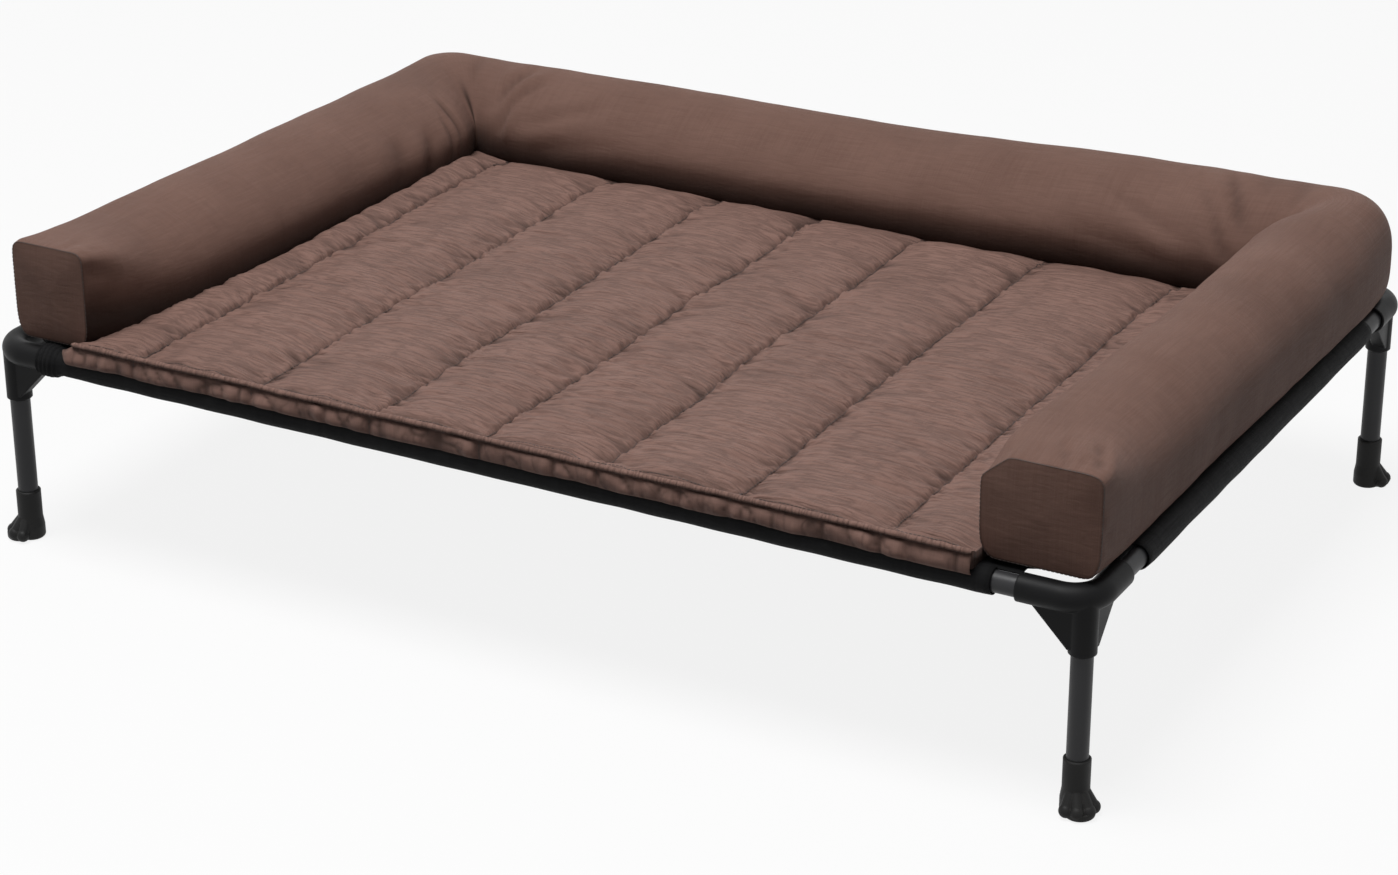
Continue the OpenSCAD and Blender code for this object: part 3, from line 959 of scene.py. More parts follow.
    def section(self, inner: float, outer: float, crown: float, waist: float) -> tuple[Array, Array]:
        """Section of the roll, a rounded square that leans.

        Args:
            inner: Squareness of its upper half towards the nest, where 2 is an ellipse.
            outer: Squareness of its upper half towards the outside.
            crown: Share of the width at which it is highest.
            waist: Share of the height at which it reaches farthest into the nest.

        Returns:
            Shares of width and height at even steps from the middle of the underside by way of the
            outer side, and the length round to each of them.
        """
        angle = np.linspace(-0.5 * math.pi, 1.5 * math.pi, 1441)
        is_top, is_outer = np.sin(angle) > 0.0, np.cos(angle) > 0.0
        power = 2.0 / np.where(is_top, np.where(is_outer, outer, inner), self.low_squareness)
        side, rise = np.abs(np.cos(angle)) ** power, np.abs(np.sin(angle)) ** power
        middle = np.where(is_top, crown, 0.5)
        level = np.where(is_outer, 0.5, waist)
        across = np.where(is_outer, middle + (1 - middle) * side, middle * (1 - side))
        up = np.where(is_top, level + (1 - level) * rise, level * (1 - rise))
        up = np.maximum(0.0, (up - self.flat_share) / (1 - self.flat_share))
        outline = np.stack([across, up], axis=1)
        steps = np.diff(outline * (self.width, self.height), axis=0)
        lengths = np.concatenate([[0.0], np.cumsum(np.hypot(steps[:, 0], steps[:, 1]))])
        even = np.linspace(0.0, lengths[-1], self.around + 1)
        shares = np.stack([np.interp(even[:-1], lengths, outline[:, k]) for k in (0, 1)], axis=1)
        return shares, even

    def shifts(self, rings: dict[str, Array]) -> dict[str, Array]:
        """How far the stuffing pushes each ring out of its plain place.

        Args:
            rings: The stations.

        Returns:
            Push of the outer side, growth in height, the section's four values, push of the inner side
            into the nest and its draw into the corner's crease, for each ring.
        """
        along, far = rings["along"], float(rings["far"][0])
        near, clear = self.corner_run, self.corner_run + self.corner_fade
        ends = (along[0], along[-1])
        keys = [ends[0], ends[0] + self.end_run, -near, near, far / 2]
        keys += [far - near, far + near, ends[1] - self.end_run, ends[1]]
        given = ("outer_shift", "growth", "crown", "waist", "inner_square", "outer_square")
        made = {name: np.interp(along, keys, getattr(self, name)) for name in given}
        bulge = (keys[0], keys[0] + self.bulge_run, *keys[1:3])
        left = np.interp(along, bulge, self.left_reach) * smooth_step(clear, near, along)
        right = np.interp(along, keys[6:], self.right_reach)
        right = right * smooth_step(far - clear, far - near, along)
        back = np.interp(along, (0.0, far / 2, far), self.back_reach)
        back = back * smooth_step(-clear, -near, along) * smooth_step(far + clear, far + near, along)
        crease = self.crease_depth * np.exp(-rings["turn"] / self.crease_fade)
        sideways = np.where(along < far / 2, -crease, crease)
        made["reach"] = np.stack([left - right, -back], axis=1)
        made["crease"] = np.stack([sideways, crease], axis=1)
        return made

    def place_ring(self, rings: dict[str, Array], shift: dict[str, Array], k: int) -> tuple[Array, Array]:
        """Points of one ring.

        Args:
            rings: The stations.
            shift: The pushes.
            k: Number of the ring.

        Returns:
            The points, and the girth at each of them and once more at the first.
        """
        end, along = float(rings["end"][k]), rings["along"]
        is_right = along[k] > 0.0
        runs = self.crisp_run[::-1] if is_right else self.crisp_run
        square = []
        for name, run in zip(("inner_square", "outer_square"), runs):
            square.append(shift[name][k] + (self.end_squareness - shift[name][k]) * math.exp(-end / run))
        shares, lengths = self.section(*square, shift["crown"][k], shift["waist"][k])
        across, up = shares[:, 0], shares[:, 1]
        inwards = (1 - across) ** 2
        reach = across * (rings["width"][k] + shift["outer_shift"][k])
        lift = self.end_lift * math.exp(-end / self.lift_run)
        rise = lift + up * (self.height + shift["growth"][k] - lift)
        if is_right:
            cut = math.exp(-((end / self.chamfer_run) ** 2))
            over = np.maximum(0.0, 1 - reach / self.chamfer[0] - (self.height - rise) / self.chamfer[1])
            steep = 1 / self.chamfer[0] ** 2 + 1 / self.chamfer[1] ** 2
            reach = reach + cut * over / self.chamfer[0] / steep
            rise = rise - cut * over / self.chamfer[1] / steep
        flat = rings["place"][k] + rings["outward"][k] * reach[:, None] + shift["reach"][k] * inwards[:, None]
        flat = flat + shift["crease"][k] * (1 - across)[:, None]
        return np.column_stack([flat, self.plan.cover_z + rise]), lengths - lengths[-1] / 2

    def folds(self, far: float) -> list[Crease]:
        """Folds of the cloth near the inner corners.

        Args:
            far: Length along the roll to the right corner.

        Returns:
            The folds.
        """
        made = []
        for middle, side in ((0.0, 1.0), (far, -1.0)):
            lines = [
                ((-74.0, 40.0), (-80.0, 112.0), 7.0, 4.5),
                ((-92.0, 52.0), (-106.0, 120.0), 5.0, 6.0),
                ((-140.0, 66.0), (-166.0, 138.0), 4.5, 9.0),
                ((-196.0, 52.0), (-222.0, 132.0), 2.8, 15.0),
                ((68.0, 96.0), (98.0, 52.0), 3.6, 7.0),
                ((60.0, 66.0), (112.0, -16.0), 4.2, 7.0),
                ((84.0, 66.0), (142.0, 6.0), 3.2, 7.5),
                ((126.0, 80.0), (236.0, 34.0), 2.2, 7.0),
                ((150.0, 100.0), (270.0, 82.0), 1.6, 8.0),
                ((20.0, 34.0), (34.0, -20.0), 1.4, 8.0),
            ]
            for start, end, depth, width in lines:
                first = (middle + side * start[0], start[1])
                made.append(Crease(first, (middle + side * end[0], end[1]), depth, width))
        return made

    def end_folds(self, ends: Pair) -> list[Crease]:
        """Gathers of the cloth where it is sewn to the end panels.

        Args:
            ends: Lengths along the roll at its left end and at its right end.

        Returns:
            The folds.
        """
        lines = [
            (ends[0], 1.0, (2.0, 47.0), (34.0, 40.0), 2.6, 2.6),
            (ends[0], 1.0, (2.0, 22.0), (46.0, 14.0), 1.4, 4.0),
            (ends[1], -1.0, (2.0, -20.0), (52.0, -4.0), 5.0, 3.4),
            (ends[1], -1.0, (2.0, -33.0), (40.0, -24.0), 4.6, 2.8),
            (ends[1], -1.0, (2.0, -46.0), (74.0, -30.0), 5.0, 4.0),
            (ends[1], -1.0, (2.0, 8.0), (40.0, 16.0), 1.6, 5.0),
        ]
        return [
            Crease((end + side * a[0], a[1]), (end + side * b[0], b[1]), depth, width)
            for end, side, a, b, depth, width in lines
        ]

    def relief(self, along: Array, girth: Array, end: Array, far: float) -> Array:
        """Rise of the cloth over the plain roll.

        Args:
            along: Length along the roll.
            girth: Girth of the points.
            end: Distance from the nearer front end.
            far: Length along the roll to the right corner.

        Returns:
            Rise at each point.
        """
        swell = self.swell.at(along, girth) + self.wave.at(along, girth)
        swell = swell + self.slack.at(along + 0.4 * girth, girth)
        gather = self.gather.at(girth, 0 * girth) * np.exp(-end / self.gather_run)
        pull = self.pull.at(girth + 0.3 * end, end) * np.exp(-end / self.pull_run)
        rise = swell * smooth_step(0.0, self.calm_run, end)
        rise = rise + (gather + pull) * smooth_step(0.5, 7.0, end)
        for fold in self.folds(far) + self.end_folds((along.min(), along.max())):
            rise = rise + fold.rise(along, girth)
        return rise

    def panel(self, shape: Shape, ring: Array, first: int) -> None:
        """Closes a front end with a slightly domed panel.

        Args:
            shape: The roll.
            ring: Points of its end ring.
            first: Number of the ring's first point in the shape.
        """
        middle = ring.mean(axis=0)
        shares = np.array([0.965, 0.86, 0.72, 0.56, 0.38, 0.18])
        count = len(ring)
        rings = []
        for share in shares:
            line = middle + (ring - middle) * share
            wave = self.panel_wave.at(line[:, 0], line[:, 2])
            line[:, 1] -= (self.panel_dome + wave) * (1 - share**2)
            rings.append(line)
        points = np.concatenate(rings + [middle[None] + (0.0, -self.panel_dome, 0.0)])
        start = shape.count
        faces = []
        for row in range(len(shares)):
            for k in range(count):
                after = (k + 1) % count
                outer = (first + k - start, first + after - start)
                if row:
                    outer = ((row - 1) * count + k, (row - 1) * count + after)
                faces.append([outer[0], outer[1], row * count + after, row * count + k])
        hub = len(shares) * count
        last = hub - count
        faces += [[last + k, last + (k + 1) % count, hub] for k in range(count)]
        known = {**{first + k - start: ring[k] for k in range(count)}, **dict(enumerate(points))}
        maps = np.array([(known[p][0], known[p][2]) for face in faces for p in face])
        shape.add(points, faces, maps)

    def build(self) -> bpy.types.Object:
        """Builds and dresses the roll.

        Returns:
            The roll.
        """
        rings = self.stations()
        shift = self.shifts(rings)
        count = len(rings["end"])
        placed = [self.place_ring(rings, shift, k) for k in range(count)]
        points = np.stack([ring for ring, _ in placed])
        girth = np.stack([lengths for _, lengths in placed])
        grid = Grid(count, self.around, True)
        shape = Shape()
        first = shape.add(points, grid.faces(), grid.maps(rings["along"], girth[count // 2]))
        self.panel(shape, points[0], first)
        self.panel(shape, points[-1], first + (count - 1) * self.around)
        roll = shape.piece("bolster_cover")
        self.face_outwards(roll)
        self.settle(roll, rings, girth)
        subdivide(roll)
        dress(roll, self.palette.bolster, "cover")
        nodes = [f"{side}_bolster{part}" for side in ("left", "back", "right") for part in ("", "_filling")]
        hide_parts(*nodes)
        for ring in (points[0], points[-1]):
            self.seam_lines.append(np.concatenate([ring, ring[:1]]))
        return roll

    def face_outwards(self, roll: bpy.types.Object) -> None:
        """Turns every face of the closed roll outwards.

        Args:
            roll: The roll.
        """
        shell = bmesh.new()
        shell.from_mesh(roll.data)
        bmesh.ops.recalc_face_normals(shell, faces=shell.faces)
        shell.to_mesh(roll.data)
        shell.free()

    def settle(self, roll: bpy.types.Object, rings: dict[str, Array], girth: Array) -> None:
        """Gives the roll its waves, gathers and folds, and paints shade into its folds, its lower inner
        crevice, its inner corners and its panel seams.

        Args:
            roll: The roll.
            rings: Its stations.
            girth: Girth at every ring and column.
        """
        points = read_points(roll.data)
        normals = read_vectors(roll.data.vertex_normals, "vector")
        far = float(rings["far"][0])
        along, end = [np.repeat(rings[name], self.around) for name in ("along", "end")]
        around = girth[:, :-1].ravel()
        rise = self.relief(along, around, end, far)
        count = len(rise)
        points[:count] += normals[:count] * rise[:, None]
        points[:, 2] = np.maximum(points[:, 2], self.plan.cover_z)
        write_points(roll.data, points)
        # Painted shade: a dark line down each inner corner of the U.
        corner = np.minimum(np.abs(along), np.abs(along - far))
        corner_shade = np.exp(-((corner / self.corner_shade_width) ** 2))
        corner_shade = corner_shade * smooth_step(*self.corner_shade, around)
        # Painted shade along the lower inner side, into the crevice over the pad.
        crevice_shade = smooth_step(*self.crevice_shade, around)
        # Painted shade on the end rings, where the panels are sewn on.
        panel_seam_shade = self.seam_shade * (end == 0.0)
        depth = np.zeros(len(points))
        # Deeper fold grooves get more painted shade; the darkest of the four painted shades is kept.
        depth[:count] = np.max([-(rise + 1.0) / self.deepest, crevice_shade, corner_shade, panel_seam_shade], axis=0)
        mark_painted_shade(roll.data, depth)


@dataclass
class QuiltedPad:
    """Quilted pad with puffed channels that run from front to back."""

    plan: Plan
    palette: Palette
    half: float = 499.5
    back: float = 302.5
    seam_height: float = 12.0
    crown: float = 6.0
    edge_height: float = 16.0
    edge_depth: float = 30.0
    seams: tuple[float, ...] = (-428.0, -283.0, -143.0, -17.0, 113.0, 256.0, 410.0)
    channel_steps: int = 16
    row_pitch: float = 4.2
    groove: float = 2.2
    pucker: float = 3.4
    crinkle: float = 1.9
    deepest: float = 3.4
    tuck: float = 0.6
    row_depth: float = 7.0
    lip_depth: float = 14.0
    lip_rise: float = 2.3
    lip_run: float = 110.0
    lip_fade: float = 4.0
    edge_roll: float = 9.0
    crowding: float = 0.09
    fullness: float = 2.6
    front_swell: float = 2.0
    seam_calm: float = 60.0
    least_height: float = 4.0
    thread_lift: float = 0.2
    drift: Ripple = Ripple(3.0, (120.0, 130.0), 21)
    start_grain: Ripple = Ripple(0.6, (10.0, 60.0), 22)
    ridges: Ripple = Ripple(1.0, (7.0, 46.0), 23)
    sway: Ripple = Ripple(7.0, (60.0, 80.0), 24)
    tight_puckers: Ripple = Ripple(2.0, (7.5, 1.0), 25)
    fine_creases: Ripple = Ripple(0.5, (4.4, 24.0), 26)
    patches: Ripple = Ripple(0.35, (90.0, 70.0), 27)
    gathers: Ripple = Ripple(1.2, (5.5, 1.0), 28)
    loose_puckers: Ripple = Ripple(0.8, (11.0, 1.0), 29)
    seam_lines: list[Array] = field(default_factory=list)
    front_row: Array = field(default_factory=lambda: np.zeros((0, 3)))

    def columns(self) -> tuple[Array, Array, Array]:
        """Columns of points across the pad, closer together beside the seams.

        Returns:
            Place of each column, its share of a channel's width, and whether it is a seam.
        """
        lines = [-self.half, *self.seams, self.half]
        share = np.arange(self.channel_steps) / self.channel_steps
        share = share - self.crowding * np.sin(2 * math.pi * share)
        places, shares = [], []
        for left, right in zip(lines[:-1], lines[1:]):
            places.append(left + share * (right - left))
            shares.append(share)
        places.append(np.array([self.half]))
        shares.append(np.array([0.0]))
        shares = np.concatenate(shares)
        return np.concatenate(places), shares, shares == 0.0

    def wander(self, across: Array, along: Array) -> Array:
        """Sideways drift of the sewn lines.

        Args:
            across: Place from left to right.
            along: Place from front to back.

        Returns:
            Drift to the right at each point.
        """
        inside = smooth_step(0.0, self.seam_calm, self.half - np.abs(across))
        return self.drift.at(along, across) * inside

    def build(self) -> bpy.types.Object:
        """Builds and dresses the pad.

        Returns:
            The pad.
        """
        x, share, is_seam = self.columns()
        length = self.back - self.plan.cover_front
        y = np.linspace(self.plan.cover_front, self.back, round(length / self.row_pitch) + 1)
        across, along = np.meshgrid(x, y)
        across = across + self.wander(across, along)
        depth = along - self.plan.cover_front
        lip = smooth_step(self.lip_depth + self.lip_fade, self.lip_depth, depth)
        lip = smooth_step(self.lip_run, 0.0, across + self.half) * lip
        puff = (1 - np.abs(2 * share - 1) ** self.fullness)[None, :]
        front = smooth_step(0.0, self.edge_depth, depth)
        height = self.seam_height + self.crown * puff
        swell = self.front_swell * np.sin(math.pi * front) * puff
        height = self.edge_height + (height - self.edge_height) * front + swell
        height = height + self.lip_rise * smooth_step(self.edge_roll, 0.0, depth)
        across = across - (-self.half - self.plan.piping_left) * lip
        points = np.stack([across, along, self.plan.cover_z + height], axis=2)
        grid = Grid(len(y), len(x))
        shape = Shape()
        shape.add(points, grid.faces(True), grid.maps(y, x, True))
        pad = shape.piece("quilted_pad_cover")
        self.puff_up(pad, grid, is_seam)
        subdivide(pad)
        self.crease(pad)
        self.close(pad)
        dress(pad, self.palette.quilt, "cover")
        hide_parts("quilted_pad", "pad_wadding")
        top = points[:, is_seam][:, 1:-1]
        self.seam_lines = [lay_on(pad, top[:, k], self.thread_lift) for k in range(top.shape[1])]
        row = np.arange(10.0 - self.half, self.half - 8.0, 6.0)
        row_y, row_z = self.plan.cover_front + self.row_depth, self.plan.cover_z + 18.0
        row = np.stack([row, 0 * row + row_y, 0 * row + row_z], axis=1)
        self.front_row = lay_on(pad, row, self.thread_lift)
        return pad

    def puff_up(self, pad: bpy.types.Object, grid: Grid, is_seam: Array) -> None:
        """Lets the cloth puff up between its pinned seams.

        Args:
            pad: The pad's upper face.
            grid: Its grid.
            is_seam: Which columns are sewn down.
        """
        pinned = np.zeros((grid.rows, grid.columns), dtype=bool)
        pinned[:, is_seam] = True
        pinned[[0, -1], :] = True
        points = read_points(pad.data)
        grain = self.start_grain.at(points[:, 1], points[:, 0])
        points[:, 2] += np.where(pinned.ravel(), 0.0, grain)
        write_points(pad.data, points)
        ClothSettle(pressure=0.7, growth=0.02, cap=5.0, bending=0.05).run(pad, np.flatnonzero(pinned))

    def crease(self, pad: bpy.types.Object) -> None:
        """Draws the seams in, adds the puckers beside them and the fine creases of the cloth, and paints
        shade into them, at the right end and behind the piping.

        Args:
            pad: The pad's upper face.
        """
        points = read_points(pad.data)
        x, y = points[:, 0], points[:, 1]
        lines = np.array(self.seams)[None, :] + 0 * x[:, None]
        lines = lines + self.wander(lines, y[:, None] + 0 * lines)
        aside = x[:, None] - lines
        nearest = np.argmin(np.abs(aside), axis=1)
        gap = np.take_along_axis(aside, nearest[:, None], axis=1)[:, 0]
        seam_side = 2.0 * nearest + (gap > 0)
        gap = np.abs(gap)
        tight = (np.abs(self.tight_puckers.at(y + 0.5 * gap, seam_side)) - 0.7) * np.exp(-gap / 11.0)
        loose = self.loose_puckers.at(y - 0.4 * gap, seam_side) * np.exp(-gap / 26.0)
        pucker = self.pucker * (tight + loose) * (1 - np.exp(-((gap / 2.5) ** 2)))
        sway = self.sway.at(x, y)
        patch = 0.65 + self.patches.at(x, y)
        ridge = np.abs(self.ridges.at(y + sway, x))
        fine = 1.2 * ridge + self.fine_creases.at(y + 1.4 * sway, x) - 0.4
        depth = y - self.plan.cover_front
        gather = self.gathers.at(x + 0.2 * depth, 0 * x) * np.exp(-depth / 12.0)
        row = np.exp(-(((depth - self.row_depth) / 3.0) ** 2))
        rise = pucker + self.crinkle * patch * fine + gather - 1.4 * row
        rise = rise - self.groove * np.exp(-((gap / 3.2) ** 2))
        points[:, 2] += rise * smooth_step(0.0, 5.0, depth)
        under = smooth_step(self.back - 66.0, self.back - 12.0, y)
        beside = smooth_step(self.half - 44.0, self.half - 10.0, np.abs(x)) * smooth_step(150.0, 320.0, depth)
        points[:, 2] -= (points[:, 2] - self.plan.cover_z) * self.tuck * np.maximum(under, beside)
        points[:, 2] = np.maximum(points[:, 2], self.plan.cover_z + self.least_height)
        write_points(pad.data, points)
        # Painted shade in the valleys of the fine creases and along the seam grooves.
        valley_shade = 0.2 * patch * smooth_step(0.3, 0.04, ridge)
        valley_shade = np.maximum(valley_shade, 0.7 * np.exp(-((gap / 2.2) ** 2)))
        # Painted shade on the last few millimetres of the pad's right end, against the roll's end panel.
        end = smooth_step(self.half - 2.5, self.half - 0.5, x)
        # Painted shadow line just behind the piping.
        front = np.exp(-((depth / 3.5) ** 2))
        # Points low in the puckers and creases get painted shade by their depth.
        mark_painted_shade(pad.data, np.max([-rise / self.deepest, valley_shade, end, front], axis=0))

    def close(self, pad: bpy.types.Object) -> None:
        """Adds the pad's sides and its flat underside, and paints shade on them near the deck.

        Args:
            pad: The pad's upper face.
        """
        shell = bmesh.new()
        shell.from_mesh(pad.data)
        rim = [edge for edge in shell.edges if edge.is_boundary]
        sides = bmesh.ops.extrude_edge_only(shell, edges=rim)["geom"]
        for point in sides:
            if isinstance(point, bmesh.types.BMVert):
                point.co.z = self.plan.cover_z * MM
        low = [edge for edge in sides if isinstance(edge, bmesh.types.BMEdge) and edge.is_boundary]
        bmesh.ops.edgeloop_fill(shell, edges=low)
        bmesh.ops.recalc_face_normals(shell, faces=shell.faces)
        shell.to_mesh(pad.data)
        shell.free()
        height = read_points(pad.data)[:, 2] - self.plan.cover_z
        folds = np.empty(len(height), dtype=np.float32)
        layer = pad.data.attributes[PAINTED_SHADE].data
        layer.foreach_get("value", folds)
        # Painted shade: the sides and underside darken where they come down to the deck.
        folds = np.maximum(folds, smooth_step(self.least_height, 0.5, height))
        layer.foreach_set("value", folds.astype(np.float32))


@dataclass
class FrontBand:
    """Band that hangs from the pad's front edge, and the piping along its top."""

    plan: Plan
    palette: Palette
    right: float = 499.5
    top: float = 244.3
    height: float = 20.0
    cut: float = 24.5
    cloth: float = 1.0
    bulge: float = 5.0
    pitch: float = 3.6
    steps: int = 12
    end_round: float = 9.0
    piping_radius: float = 2.9
    piping_sides: int = 12
    tuck_shift: float = 18.0
    tuck_width: float = 4.0
    pucker_depth: float = 2.4
    droop: float = 7.0
    thread_lift: float = 0.2
    lean: Ripple = Ripple(12.0, (50.0, 1.0), 30)
    puckers: Ripple = Ripple(2.0, (17.0, 1.6), 31)
    puffs: Ripple = Ripple(1.6, (30.0, 1.0), 32)
    hem_wave: Ripple = Ripple(1.2, (45.0, 1.0), 33)
    piping_sway: Ripple = Ripple(0.4, (40.0, 1.0), 34)
    piping_rise: Ripple = Ripple(0.8, (50.0, 1.0), 35)
    piping_swell: Ripple = Ripple(0.12, (6.0, 2.0), 36)
    tucks: list[Array] = field(default_factory=list)

    def build(self, seams: tuple[float, ...]) -> tuple[bpy.types.Object, bpy.types.Object]:
        """Builds and dresses the band and the piping.

        Args:
            seams: Places of the pad's seams, at which the band is tucked.

        Returns:
            The band and the piping.
        """
        left, right = self.plan.band_left, self.right
        x = np.linspace(left, right, round((right - left) / self.pitch))
        share = np.linspace(0.0, 1.0, self.steps + 1)
        along, up = np.meshgrid(x, share, indexing="ij")
        between = [(a + b) / 2 + self.tuck_shift for a, b in zip(seams[:-1], seams[1:])]
        near = np.min(np.abs(along[..., None] - np.array([*seams, *between])), axis=2)
        free = 1 - 0.9 * np.exp(-((near / self.tuck_width) ** 2))
        slant = along + (1 - up) * self.lean.at(along, 0 * along)
        puckers = np.abs(self.puckers.at(slant, up)) - 0.7
        full = np.sin(math.pi * up**0.75) ** 0.6
        out = self.bulge * free + self.pucker_depth * puckers + self.puffs.at(along, up)
        out = np.maximum(out, 0.4) * full * smooth_step(0.0, 8.0, along - left)
        turn = np.clip(self.end_round - (along - left), 0.0, self.end_round)
        raised = self.end_round - np.sqrt(self.end_round**2 - turn**2)
        foot = (self.hem_wave.at(along, 0 * along) + raised) * (1 - up)
        foot = foot - self.droop * smooth_step(17.0, 2.0, along - left) * up
        points = np.stack(
            [
                along,
                self.plan.cover_front - 0.2 + 0.8 * up**6 - out,
                self.top - self.height * (1 - up) + foot,
            ],
            axis=2,
        )
        grid = Grid(len(x), len(share))
        shape = Shape()
        shape.add(points, grid.faces(True), grid.maps(x, share * self.height, True))
        band = shape.piece("front_band")
        # Painted shade in the pucker valleys and the tucks, and along the band's top under the piping.
        pucker_shade = 0.8 - 3.2 * free * (puckers + 0.7)
        mark_painted_shade(band.data, np.maximum(pucker_shade, smooth_step(0.82, 1.0, up)).ravel())
        thicken(band, self.cloth)
        subdivide(band)
        dress(band, self.palette.band, "cover")
        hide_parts("pad_front_band")
        rise = np.linspace(self.top - self.height + 2.0, self.top - 1.0, 6)
        for seam in seams:
            line = np.stack([np.full(6, seam), np.full(6, self.plan.cover_front - 2.0), rise], axis=1)
            self.tucks.append(lay_on(band, line, self.thread_lift))
        return band, self.build_piping(x[x > self.plan.piping_left])

    def build_piping(self, x: Array) -> bpy.types.Object:
        """Builds and dresses the piping.

        Args:
            x: Places along the band.

        Returns:
            The piping.
        """
        sides = self.piping_sides
        angle = np.linspace(0.0, 2 * math.pi, sides, endpoint=False)
        along, turn = np.meshgrid(x, angle, indexing="ij")
        axis_y = self.plan.cover_front - 2.2 + self.piping_sway.at(along, 0 * along)
        axis_z = self.top + 2.6 + self.piping_rise.at(along, 0 * along)
        radius = self.piping_radius * (1 + self.piping_swell.at(along, turn))
        radius = radius * (0.45 + 0.55 * smooth_step(0.0, 4.0, np.minimum(along - x[0], x[-1] - along)))
        points = np.stack([along, axis_y + radius * np.cos(turn), axis_z + radius * np.sin(turn)], axis=2)
        grid = Grid(len(x), sides, True)
        around = np.arange(sides + 1) * 2 * math.pi * self.piping_radius / sides
        shape = Shape()
        shape.add(points, grid.faces(True), grid.maps(x, around, True))
        for row, is_flipped in ((0, False), (len(x) - 1, True)):
            ring = [row * sides + k for k in range(sides)]
            shape.faces.append(ring[::-1] if is_flipped else ring)
            shape.maps.append(np.zeros((sides, 2)))
        piping = shape.piece("front_piping_cord")
        # Painted shade on the lower half of the piping cord.
        mark_painted_shade(piping.data, 0.9 * smooth_step(0.2, -0.7, np.sin(turn)).ravel())
        dress(piping, self.palette.quilt, "cover")
        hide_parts("front_piping")
        return piping


